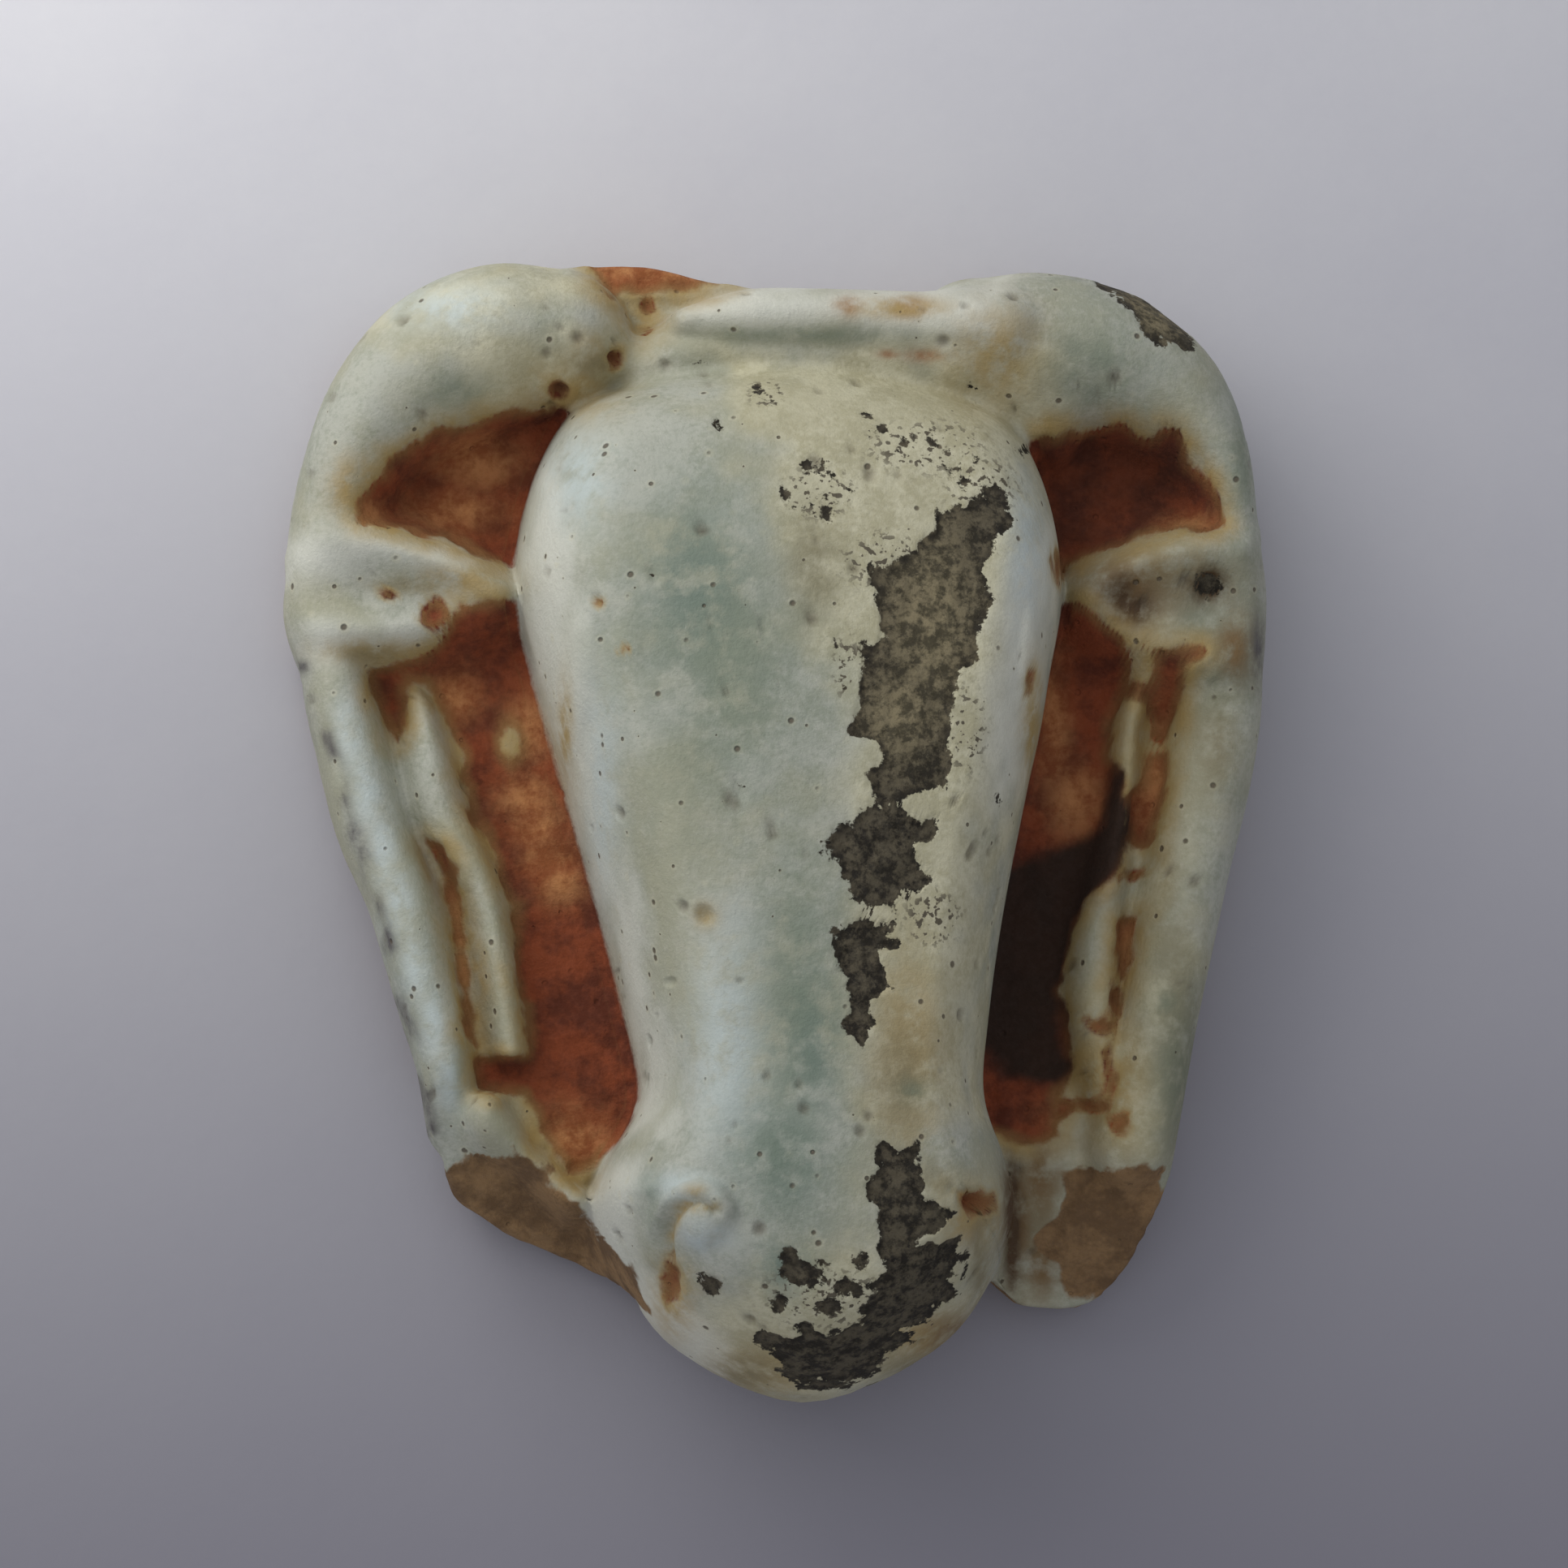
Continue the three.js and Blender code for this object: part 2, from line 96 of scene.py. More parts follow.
# How often and how far each point of the front is drawn to the middle of its neighbours
EASING_ROUNDS = 4
EASING = 0.5

# Stations of the head: place along the length, half width, lean of the middle
HEAD = [
    (0.37, 0.185, 0.006), (0.315, 0.25, 0.008), (0.21, 0.277, 0.008), (0.11, 0.2565, 0.012),
    (-0.072, 0.205, 0.02), (-0.18, 0.179, 0.027), (-0.243, 0.1715, 0.03), (-0.296, 0.197, 0.024),
    (-0.338, 0.2085, 0.022), (-0.397, 0.182, 0.026), (-0.457, 0.126, 0.024),
]
CROWN_END = (0.0, 0.392)
MUZZLE_END = (0.022, -0.4995)
FACE_PROFILE = [
    (0.392, 0.51), (0.35, 0.61), (0.28, 0.76), (0.18, 0.878), (0.05, 0.95), (-0.08, 0.971),
    (-0.22, 0.978), (-0.33, 1.0), (-0.4, 0.95), (-0.455, 0.813), (-0.5, 0.625),
]
FACE_CROWN = 0.144
WALL_WIDTH = [(0.39, 0.069), (0.3, 0.088), (-0.1, 0.081), (-0.3, 0.081), (-0.4, 0.104), (-0.5, 0.123)]

# Swept ridges: place across, place along, half width, share of the ridge's rise
LEFT_HORN = [
    (-0.228, 0.415, 0.078, 0.9), (-0.29, 0.411, 0.086, 1.0), (-0.35, 0.388, 0.084, 0.98),
    (-0.402, 0.345, 0.07, 0.88), (-0.438, 0.29, 0.052, 0.73), (-0.462, 0.225, 0.04, 0.54),
]
RIGHT_HORN = [
    (0.2, 0.415, 0.076, 0.9), (0.262, 0.412, 0.086, 1.0), (0.335, 0.401, 0.082, 0.98),
    (0.402, 0.368, 0.064, 0.87), (0.444, 0.318, 0.04, 0.73), (0.466, 0.25, 0.026, 0.54),
]
LEFT_BAND = [
    (-0.452, 0.15, 0.034, 0.9), (-0.446, 0.105, 0.035, 0.94), (-0.411, -0.005, 0.036, 1.0),
    (-0.379, -0.074, 0.034, 1.0), (-0.357, -0.142, 0.032, 1.0), (-0.335, -0.211, 0.029, 0.94),
    (-0.325, -0.266, 0.026, 0.8),
]
RIGHT_BAND = [
    (0.446, 0.15, 0.044, 0.9), (0.447, 0.106, 0.046, 0.94), (0.434, 0.038, 0.046, 1.0),
    (0.415, -0.032, 0.044, 1.0), (0.398, -0.102, 0.042, 1.0), (0.381, -0.172, 0.04, 1.0),
    (0.362, -0.242, 0.042, 0.94), (0.35, -0.28, 0.044, 0.86),
]
LEFT_TIP = [
    (-0.364, 0.098, 0.01, 0.73), (-0.354, 0.048, 0.024, 1.0), (-0.339, -0.003, 0.027, 1.07),
    (-0.3, -0.065, 0.02, 1.0), (-0.283, -0.127, 0.019, 1.0), (-0.269, -0.205, 0.017, 0.9),
]
RIGHT_TIP = [
    (0.369, 0.139, 0.012, 0.66), (0.353, 0.085, 0.014, 0.83), (0.345, 0.03, 0.015, 0.83),
    (0.333, -0.025, 0.018, 0.9), (0.318, -0.1, 0.026, 1.0), (0.313, -0.17, 0.026, 1.0),
    (0.328, -0.24, 0.024, 0.93),
]
POLL_BAND = [
    (-0.1, 0.426, 0.02, 0.8), (-0.04, 0.429, 0.036, 0.98), (0.05, 0.428, 0.04, 1.0),
    (0.165, 0.424, 0.042, 1.0), (0.215, 0.42, 0.05, 1.0),
]
SADDLE = [
    (-0.135, 0.388, 0.042, 0.7), (-0.07, 0.404, 0.05, 0.95), (0.05, 0.404, 0.06, 1.06),
    (0.2, 0.4, 0.064, 1.06), (0.268, 0.352, 0.048, 0.8),
]
LEFT_KNOB = [
    (-0.294, -0.258, 0.025, 0.92), (-0.286, -0.27, 0.026, 0.86), (-0.25, -0.297, 0.016, 0.5),
    (-0.205, -0.33, 0.016, 0.4),
]
RIDGES = [
    (LEFT_HORN, HORN_RISE, 2.0), (RIGHT_HORN, HORN_RISE, 2.0),
    (LEFT_BAND, BAND_RISE, 2.2), (RIGHT_BAND, BAND_RISE, 2.2),
    (LEFT_TIP, TIP_RISE, 1.8), (RIGHT_TIP, TIP_RISE, 1.8),
    (SADDLE, SADDLE_RISE, 2.0), (POLL_BAND, POLL_RISE, 2.2), (LEFT_KNOB, KNOB_RISE, 2.0),
]
# Ridges with a softer join, and ridges that the breaks leave whole
SOFT_BLEND = 1.5
SOFT_RIDGES = (SADDLE, POLL_BAND)
WHOLE_RIDGES = (LEFT_KNOB,)

# The shape of an ear, in shares of its own width, length or rise
EAR_ROOT = 0.2
EAR_WIDEST = 0.8
EAR_SWELL = 0.9
EAR_END_ROUND = 0.1
EAR_END_POWER = 2.5
EAR_ROOT_DROP = 0.22
EAR_END_DROP = 0.35
EAR_BOWL = 0.62
EAR_BOWL_ROOT = 0.3
EAR_BOWL_END = 0.35

# Ears: inner end, outer end, half width as a share of the length, side
EARS = [((-0.262, 0.176), (-0.502, 0.192), 0.06, -1), ((0.285, 0.186), (0.496, 0.176), 0.073, 1)]
# Eyes: place and lean
EYES = [((-0.2135, 0.093), 0.1), ((0.2445, 0.097), -0.08)]
# Balls of the nostrils: place and rise
NOSTRILS = [((-0.09, -0.352), 0.5), ((0.153, -0.345), 0.12)]

# The slab's outline, without the head, the ridges and the ears
SLAB = [
    (-0.3, 0.47), (-0.16, 0.492), (-0.05, 0.474), (0.08, 0.462), (0.2, 0.468), (0.33, 0.46),
    (0.455, 0.37), (0.483, 0.25), (0.486, 0.12), (0.462, 0.03), (0.43, -0.12), (0.403, -0.26),
    (0.385, -0.325), (0.33, -0.404), (0.255, -0.414), (0.195, -0.392), (0.02, -0.44),
    (-0.115, -0.415), (-0.2, -0.378), (-0.285, -0.347), (-0.328, -0.315), (-0.342, -0.255),
    (-0.378, -0.145), (-0.434, 0.0), (-0.47, 0.1), (-0.478, 0.25), (-0.44, 0.38),
]
# Where along the length the head starts to melt into the band behind it
CROWN_SPAN = (0.325, 0.385)
# Broken lower corners: from, to, height at the line over the ground, slope of the fall past it
BREAKS = [
    ((-0.335, -0.275), (-0.185, -0.335), LEFT_BREAK_RISE, 1.25),
    ((0.23, -0.285), (0.39, -0.3), RIGHT_BREAK_RISE, 0.85),
]
# Where the ground starts to rise under the muzzle, over what length, and to what half width
CHIN_START = -0.36
CHIN_RUN = 0.06
CHIN_HALF = 0.24

# The photograph's camera, in the object's frame: it leans to the muzzle and a little to the left
PHOTO_SIDE = 1932
PHOTO_MIDDLE = PHOTO_SIDE / 2
CAMERA_TARGET = np.array([0.11, 0.91, 4.0])
CAMERA_DISTANCE = 130.0
LEAN_TO_MUZZLE = math.radians(9.0)
LEAN_TO_LEFT = math.radians(4.0)
# The amulet is about 1420 pixels long in the photograph, and is taken to be about 30 mm long
PIXELS_PER_MM = 1420 / 30.0
FOCAL_PIXELS = CAMERA_DISTANCE * PIXELS_PER_MM

# Wear, glaze colour, painted shade and painted light on the surface: every place and every half width is in
# pixels of the photograph's 1932 x 1932 frame

# Red brown body laid bare between the forms; the head's own foot ends it on the head's side
BARE_GROUND = [
    [(438, 620), (470, 587), (478, 566), (509, 550), (537, 532), (572, 526), (607, 511), (649, 504),
     (700, 500), (700, 700), (627, 697), (598, 691), (572, 672), (547, 660), (521, 663), (496, 651),
     (464, 647), (442, 644)],
    [(455, 826), (500, 815), (524, 806), (548, 786), (570, 746), (620, 738), (690, 742), (720, 960),
     (760, 1100), (800, 1220), (830, 1340), (785, 1360), (776, 1400), (742, 1428), (716, 1448), (700, 1446),
     (676, 1410), (658, 1374), (646, 1350), (625, 1345), (588, 1345), (586, 1302), (622, 1303), (652, 1300),
     (652, 1292), (645, 1240), (630, 1190), (637, 1150), (632, 1114), (616, 1085), (603, 1036), (582, 1010),
     (578, 972), (566, 960), (566, 925), (548, 884), (527, 843), (505, 838), (499, 870), (500, 895),
     (489, 914), (476, 890), (456, 855)],
    [(524, 1034), (545, 1040), (562, 1070), (574, 1150), (584, 1190), (588, 1290), (572, 1276), (560, 1200),
     (552, 1120), (538, 1066)],
    [(1265, 540), (1299, 540), (1322, 531), (1351, 528), (1374, 519), (1388, 522), (1403, 538), (1420, 538),
     (1434, 524), (1454, 530), (1463, 548), (1466, 574), (1489, 586), (1500, 611), (1510, 645), (1494, 653),
     (1451, 652), (1403, 663), (1368, 677), (1345, 686), (1328, 696), (1270, 706)],
    [(1270, 748), (1305, 746), (1328, 738), (1346, 748), (1364, 766), (1387, 787), (1394, 812), (1384, 858),
     (1369, 894), (1366, 935), (1388, 958), (1391, 995), (1386, 1041), (1383, 1069), (1364, 1087),
     (1337, 1110), (1323, 1142), (1313, 1179), (1305, 1216), (1316, 1253), (1321, 1276), (1319, 1317),
     (1307, 1354), (1306, 1400), (1282, 1409), (1240, 1404), (1180, 1380), (1180, 1180), (1240, 900)],
    [(1380, 800), (1410, 798), (1438, 802), (1479, 796), (1486, 806), (1462, 821), (1457, 849), (1444, 894),
     (1429, 905), (1415, 887), (1409, 864), (1380, 856), (1380, 838), (1420, 842), (1425, 812), (1410, 795)],
    [(1410, 926), (1441, 924), (1440, 977), (1426, 1014), (1420, 1044), (1397, 1044), (1386, 1018),
     (1386, 977), (1406, 966)],
    [(1374, 1133), (1404, 1127), (1398, 1179), (1388, 1218), (1374, 1208), (1370, 1170)],
    [(722, 310), (790, 310), (860, 322), (905, 344), (850, 358), (796, 362), (756, 366), (735, 346)],
]
# Small spots of it: place and half widths, as in all the lists of spots
BARE_SPOTS = [
    (757, 440, 9, 9), (692, 482, 12, 12), (1206, 1483, 18, 17), (826, 1579, 11, 22), (475, 733, 12, 10),
    (535, 757, 16, 18), (1305, 694, 7, 18), (1269, 838, 6, 15), (736, 741, 7, 7), (798, 378, 9, 12),
    (792, 406, 8, 6), (775, 800, 5, 4), (1395, 1078, 15, 8), (1351, 1266, 16, 11), (1374, 1240, 7, 24),
    (1341, 1363, 20, 10), (1376, 1386, 12, 11), (1310, 1366, 14, 10), (1366, 1320, 7, 22),
    (1480, 1496, 5, 6), (1430, 884, 10, 40),
]
# Pale islands of glaze left standing in the bare ground
GLAZE_ISLANDS = [(629, 915, 11, 17)]
# Where the bare ground is orange instead of deep red brown
ORANGE_GROUND = [
    (590, 570, 50, 34), (560, 628, 60, 26), (650, 985, 36, 34), (662, 1020, 36, 34), (676, 1055, 34, 32),
    (690, 1088, 28, 26), (650, 900, 30, 40), (706, 1410, 44, 44), (1462, 640, 34, 9), (1350, 1375, 50, 26),
    (1325, 985, 34, 46), (1420, 960, 24, 90), (560, 860, 30, 30), (455, 632, 26, 18), (795, 335, 90, 26),
    (1300, 900, 20, 80), (568, 1160, 16, 110), (1395, 1170, 20, 50),
]
# Where it is nearly black: soot, and painted shade deep in the recess between the head and the right band
SOOT_AND_RECESS_SHADE = [
    [(1362, 948), (1388, 950), (1392, 995), (1388, 1041), (1384, 1072), (1364, 1090), (1337, 1112),
     (1323, 1145), (1312, 1185), (1306, 1220), (1318, 1262), (1319, 1310), (1304, 1338), (1240, 1330),
     (1222, 1290), (1160, 1300), (1160, 1090), (1255, 1062), (1305, 1050), (1350, 1015)],
]
# Where it is merely darkened
DARKENED = [
    (1440, 585, 50, 46), (1400, 560, 60, 40), (1345, 600, 50, 60), (1330, 1160, 30, 60), (757, 440, 14, 14),
    (692, 482, 16, 16), (475, 733, 20, 16), (1340, 655, 50, 30), (1400, 600, 70, 40),
]
# Granular dark patches where the glaze has flaked off
FLAKED = [
    [(1226, 597), (1241, 605), (1234, 631), (1252, 642), (1227, 657), (1226, 680), (1215, 701),
     (1222, 738), (1215, 760), (1204, 775), (1204, 819), (1178, 842), (1178, 871), (1185, 897),
     (1167, 912), (1167, 945), (1156, 975), (1120, 985), (1082, 985), (1071, 956), (1089, 934),
     (1067, 908), (1045, 901), (1056, 875), (1049, 853), (1063, 827), (1060, 800), (1089, 786),
     (1082, 753), (1082, 723), (1071, 708), (1097, 694), (1115, 679), (1137, 668), (1156, 657),
     (1152, 628), (1174, 631), (1193, 616), (1215, 612)],
    [(1012, 1045), (1040, 1022), (1075, 1005), (1108, 992), (1150, 1008), (1152, 1022), (1128, 1045),
     (1145, 1085), (1120, 1100), (1108, 1128), (1078, 1118), (1052, 1108), (1040, 1078)],
    [(1020, 1150), (1050, 1140), (1078, 1132), (1098, 1160), (1082, 1190), (1092, 1215), (1072, 1245),
     (1062, 1292), (1046, 1265), (1050, 1235), (1030, 1195)],
    [(1085, 1407), (1105, 1416), (1135, 1407), (1143, 1440), (1140, 1470), (1155, 1490), (1178, 1496),
     (1150, 1518), (1135, 1530), (1165, 1535), (1183, 1522), (1190, 1548), (1175, 1575), (1175, 1595),
     (1138, 1624), (1115, 1652), (1085, 1675), (1075, 1700), (1030, 1714), (980, 1716), (970, 1690),
     (936, 1652), (958, 1640), (1000, 1644), (1025, 1636), (1058, 1625), (1072, 1596), (1085, 1566),
     (1078, 1540), (1082, 1500), (1073, 1450)],
    [(1352, 345), (1380, 348), (1412, 362), (1448, 388), (1472, 412), (1464, 434), (1440, 420),
     (1412, 412), (1388, 378)],
]
FLAKED_SPOTS = [
    (938, 479, 10, 6), (947, 496, 8, 6), (888, 522, 9, 8), (1067, 507, 9, 7), (1086, 529, 17, 10),
    (1111, 546, 10, 10), (1097, 561, 8, 5), (1147, 540, 10, 10), (1171, 553, 11, 6), (1176, 577, 12, 7),
    (1187, 590, 9, 7), (1200, 566, 9, 6), (1263, 554, 8, 8), (1196, 477, 6, 5), (993, 575, 11, 8),
    (1012, 573, 11, 10), (1028, 583, 12, 7), (1050, 605, 12, 6), (1020, 615, 18, 9), (1019, 631, 10, 12),
    (989, 629, 13, 7), (967, 606, 8, 9), (923, 564, 5, 6), (1030, 794, 7, 7), (1046, 817, 10, 6),
    (1043, 846, 9, 7), (910, 967, 9, 8), (1202, 879, 8, 7), (1160, 1105, 5, 5), (990, 1572, 30, 19),
    (975, 1548, 14, 14), (960, 1606, 15, 15), (1021, 1612, 17, 13), (990, 1638, 15, 11),
    (1043, 1586, 18, 15), (1061, 1553, 13, 15), (950, 1655, 15, 12), (1014, 1556, 12, 10),
    (1030, 1642, 17, 12), (876, 1586, 12, 11), (861, 1573, 7, 7), (1079, 1378, 6, 7), (805, 708, 7, 6),
    (1490, 722, 20, 16), (1228, 984, 5, 7), (868, 447, 12, 5),
]
# The flaked spots' edges lie this far inside their ellipses, in millimetres
FLAKED_SPOTS_SHRUNK = 0.06
# Where the flaked ground is browner and lighter
BROWN_FLAKES = [(1150, 770, 60, 130), (1110, 880, 50, 60), (1425, 390, 70, 40)]
# Where fine dark specks are strewn
SPECKLED = [
    (1140, 550, 80, 36), (1010, 606, 50, 36), (944, 486, 26, 18), (1044, 822, 20, 44), (1210, 600, 50, 40),
    (1150, 1130, 40, 40), (1020, 1600, 90, 40), (1190, 900, 30, 60), (1090, 690, 60, 40),
]
# Body shown by the broken corners
BROKEN_BODY = [
    [(548, 1446), (590, 1424), (640, 1418), (672, 1440), (705, 1478), (740, 1520), (775, 1560), (800, 1612),
     (760, 1640), (600, 1560), (540, 1500)],
    [(1304, 1446), (1345, 1436), (1400, 1444), (1436, 1440), (1445, 1500), (1410, 1570), (1370, 1600),
     (1322, 1600), (1296, 1570), (1282, 1530), (1298, 1490)],
]
# Yellowish glaze and whitish glaze, with soft edges; parts of them are painted light: highlights on lit
# bevels and rims, and brightening over sides and valleys in shade
CREAM_GLAZE_AND_PAINTED_LIGHT = [
    [(880, 425), (1230, 425), (1300, 560), (1305, 700), (1250, 950), (1215, 1200), (1215, 1380),
     (1080, 1400), (1066, 1300), (1052, 1100), (1045, 900), (1010, 760), (950, 620), (910, 520)],
    [(820, 1620), (880, 1600), (925, 1600), (955, 1545), (1060, 1530), (1195, 1560), (1210, 1620),
     (1120, 1710), (1000, 1735), (880, 1720)],
    # Painted light with a yellow tint: these two lift the shade in the valleys where the horns meet the
    # crown
    [(1215, 425), (1290, 430), (1320, 560), (1262, 560)],
    [(560, 430), (700, 396), (770, 430), (700, 505), (600, 515)],
    [(480, 400), (560, 345), (680, 325), (720, 360), (640, 400), (540, 430)],
    [(1390, 740), (1470, 800), (1480, 1000), (1440, 1300), (1440, 1430), (1300, 1430), (1330, 1300),
     (1390, 1100)],
]
# Whitish glaze, and painted highlights: the left bevel, the strip on the right slope, the lit top of the
# poll band and the left ear's upper rim; also painted light over the shaded underside of the left ear and
# the chin's left side
WHITE_GLAZE_AND_HIGHLIGHTS = [
    [(662, 560), (700, 600), (712, 760), (735, 860), (752, 1000), (800, 1180), (835, 1320), (820, 1400),
     (770, 1400), (790, 1330), (740, 1120), (690, 950), (655, 830), (632, 700)],
    [(1240, 700), (1300, 640), (1300, 740), (1262, 960), (1225, 1000), (1215, 880)],
    [(1150, 360), (1240, 340), (1240, 420), (1160, 420)],
    [(720, 1440), (800, 1420), (780, 1560), (850, 1600), (920, 1690), (900, 1740), (840, 1740), (760, 1620),
     (700, 1500)],
    [(345, 660), (560, 662), (650, 715), (560, 700), (450, 690), (350, 720)],
    [(850, 340), (1180, 345), (1200, 410), (830, 405)],
    [(380, 765), (520, 768), (548, 776), (500, 806), (430, 816), (380, 806)],
]


def spots_along(start, end, count, half_x, half_y):
    """Spots in a row from one pixel to another."""
    spots = []
    for step in range(count):
        t = step / (count - 1)
        x, y = start[0] + (end[0] - start[0]) * t, start[1] + (end[1] - start[1]) * t
        spots.append((x, y, half_x, half_y))
    return spots


# Soft stains on the glaze, and painted shade and painted light laid on the same way: colour, strength and
# places
STAINS_AND_PAINTED_LIGHT = {
    "tan": ((0.37, 0.22, 0.12), 1.2, [
        (1045, 377, 15, 12), (1120, 378, 22, 12), (1140, 438, 26, 8), (1096, 436, 14, 6),
    ]),
    # Milky glaze, and painted light: brightens the left bevel and the left outer band, which face the light,
    # and the pale strip on the head's right slope
    "milky_glaze_and_painted_light": ((0.56, 0.64, 0.63), 0.75, [
        (900, 1280, 50, 150), (845, 1460, 50, 20), (868, 1524, 34, 22), (715, 590, 40, 60),
        (1264, 680, 24, 110), (740, 980, 24, 140), (560, 380, 70, 26),
        *spots_along((432, 900), (555, 1330), 7, 20, 50),
    ]),
    "ochre": ((0.40, 0.28, 0.10), 0.95, [
        *spots_along((801, 396), (676, 500), 7, 15, 12), (700, 480, 60, 36), (790, 395, 40, 34),
        (430, 600, 26, 40), (455, 802, 60, 14), (640, 960, 60, 70), (1420, 860, 40, 90),
        (1370, 1330, 50, 90), (1200, 1500, 40, 40), (830, 1600, 26, 50),
        *spots_along((824, 1528), (836, 1492), 4, 7, 9), *spots_along((842, 1486), (880, 1488), 4, 9, 6),
        (857, 1468, 14, 8), (700, 1455, 36, 24), (610, 920, 40, 40), (1290, 545, 20, 34),
        (1272, 900, 14, 90), (1430, 700, 70, 20), (697, 900, 10, 60), (1140, 1650, 60, 30),
        (728, 440, 26, 30), (450, 600, 40, 40), (1293, 525, 24, 22), (585, 930, 26, 50),
        (1430, 980, 16, 110), (665, 1356, 20, 26), (1462, 850, 16, 60), (810, 362, 70, 20),
        (1340, 1330, 40, 60), (570, 716, 60, 20), (1120, 1300, 40, 110), (940, 1690, 60, 30),
        (1235, 440, 60, 60), (1110, 380, 60, 14), (868, 1128, 16, 16), (657, 1400, 14, 40),
    ]),
    "teal": ((0.16, 0.215, 0.175), 0.9, [
        (970, 1425, 60, 80), (1000, 1290, 44, 120), (860, 720, 80, 120), (965, 1560, 40, 40),
    ]),
    "olive": ((0.25, 0.215, 0.120), 0.9, [
        (1450, 720, 90, 50), (1450, 1260, 36, 170), (1000, 700, 36, 70), (1500, 800, 50, 60),
        (1110, 1330, 40, 80), (920, 1690, 50, 26), (1130, 1690, 50, 26), (1208, 1570, 14, 80),
        (470, 808, 50, 10), (730, 446, 30, 20), (1160, 1460, 30, 26), (1280, 1500, 34, 90),
        (800, 360, 70, 16), (1500, 900, 30, 100), (500, 722, 50, 10),
    ]),
    # Dark green glaze tone, and painted shade: a line along the groove between the poll band and the crown,
    # the groove beside the right tip, the right horn's outer side and the darker middle of the face
    "green_and_painted_shade": ((0.16, 0.205, 0.145), 0.6, [
        (1250, 1500, 12, 90), (1432, 1235, 26, 22), (1130, 1345, 26, 16), (900, 860, 120, 190),
        (980, 1200, 60, 240), (960, 1420, 60, 60), (1350, 450, 90, 50), (560, 480, 50, 20),
        (1530, 560, 24, 130), (1455, 1330, 40, 110), (1500, 830, 40, 50), (1480, 770, 30, 24),
        (1000, 412, 150, 10), (570, 1325, 10, 50), (800, 1480, 14, 40),
    ]),
    "umber": ((0.20, 0.125, 0.050), 1.1, [
        (1388, 728, 52, 42), (1520, 800, 22, 40), (1176, 1650, 34, 30), (1256, 1500, 18, 95),
        (1350, 1080, 20, 30), (1284, 1560, 24, 40), (1282, 1450, 26, 50),
    ]),
    # Painted shade, over some brown dirt: darkens the right ear's hollow, the groove between the head and
    # the right tip, the nostril holes and a pit
    "shade": ((0.080, 0.042, 0.014), 1.6, [
        (1380, 740, 16, 30), (1398, 752, 22, 18), (1248, 1510, 9, 90), (876, 1584, 10, 9),
        (1186, 1476, 10, 8), (1490, 722, 22, 19),
    ]),
    # Grime and painted shade: dark marks where the left ear's lower edge meets the horn, and along the right
    # ear's outer edge
    "grime_and_edge_shade": ((0.09, 0.08, 0.078), 1.0, [
        (372, 822, 9, 8), (1550, 800, 8, 40),
    ]),
}
# Grime and painted shade in broken lines along the outer edges
EDGE_GRIME_AND_SHADE_LINES = [[(386, 878), (410, 935), (438, 1030), (480, 1165)], [(494, 1232), (532, 1392)]]
EDGE_GRIME_AND_SHADE_WIDTH = 11
# Pits too large to be strewn: place and radius
LARGE_PITS = [
    (868, 1128, 12), (910, 967, 9), (805, 708, 7), (888, 522, 8), (826, 1210, 6), (1206, 1483, 12),
    (941, 775, 6), (1492, 722, 22), (736, 741, 7), (879, 775, 6), (757, 440, 9), (692, 482, 10),
]
# A large pit of this radius in pixels is this deep in millimetres, and each one ends at so many radii
LARGE_PIT_RADIUS = 9
LARGE_PIT_DEPTH = 0.16
LARGE_PIT_SPREAD = 1.2

# Relief of the wear, in millimetres
FLAKED_DEPTH = 0.07
BARE_DEPTH = 0.08
# The glaze is thicker along the bare ground: rise, how far from the edge, half width
GLAZE_EDGE_RISE = 0.04
GLAZE_EDGE_MIDDLE = 0.16
GLAZE_EDGE_HALF = 0.12
BREAK_LUMPS = 0.10
BREAK_GRAINS = 0.05
GLAZE_SWELLS = 0.05
GLAZE_RIPPLES = 0.015
# The relief fades down to a share of itself at the paper, over these heights
RELIEF_HEIGHTS = (0.2, 1.6)
RELIEF_AT_FLOOR = 0.15
# It fades out on the front where the normal's upward part falls from the second number to the first
RELIEF_SLOPES = (0.05, 0.55)
# Its share on the outer wall
WALL_RELIEF = 0.7
# Height of the glaze's lower edge on the outer wall
GLAZE_FOOT = 0.9
# Depth of a place before any patch is measured
FAR_OUTSIDE = -99.0
# Depth in the patches for places that the photograph doesn't show
UNWORN = -0.6
# Such places lie past these shares of the way down the wall: for the glaze's losses, and for the breaks
SEEN_WALL = 0.35
SEEN_BREAK = 0.9
# Bubbles are strewn only above this share
PITTED_WALL = 0.5

# Seeds of the coarse, the ragged and the fine lumps
WEAR_SEEDS = (11, 12, 13)
# The patches' edges stray by lumps of these heights and sizes, in millimetres
WANDER = (0.25, 0.9)
RAGGED = (0.34, 0.5)
FRAYED = (0.12, 0.2)


def place(share):
    """A place given in shares of the width and the length, in millimetres."""
    return np.array([share[0] * WIDTH, share[1] * LENGTH])


def smooth_max(a, b, width=BLEND):
    share = np.clip(0.5 + 0.5 * (a - b) / width, 0, 1)
    return b + (a - b) * share + width * share * (1 - share)


def smooth_min(a, b, width=BLEND):
    return -smooth_max(-a, -b, width)


def smooth_step(low, high, value):
    share = np.clip((value - low) / (high - low), 0, 1)
    return share * share * (3 - 2 * share)


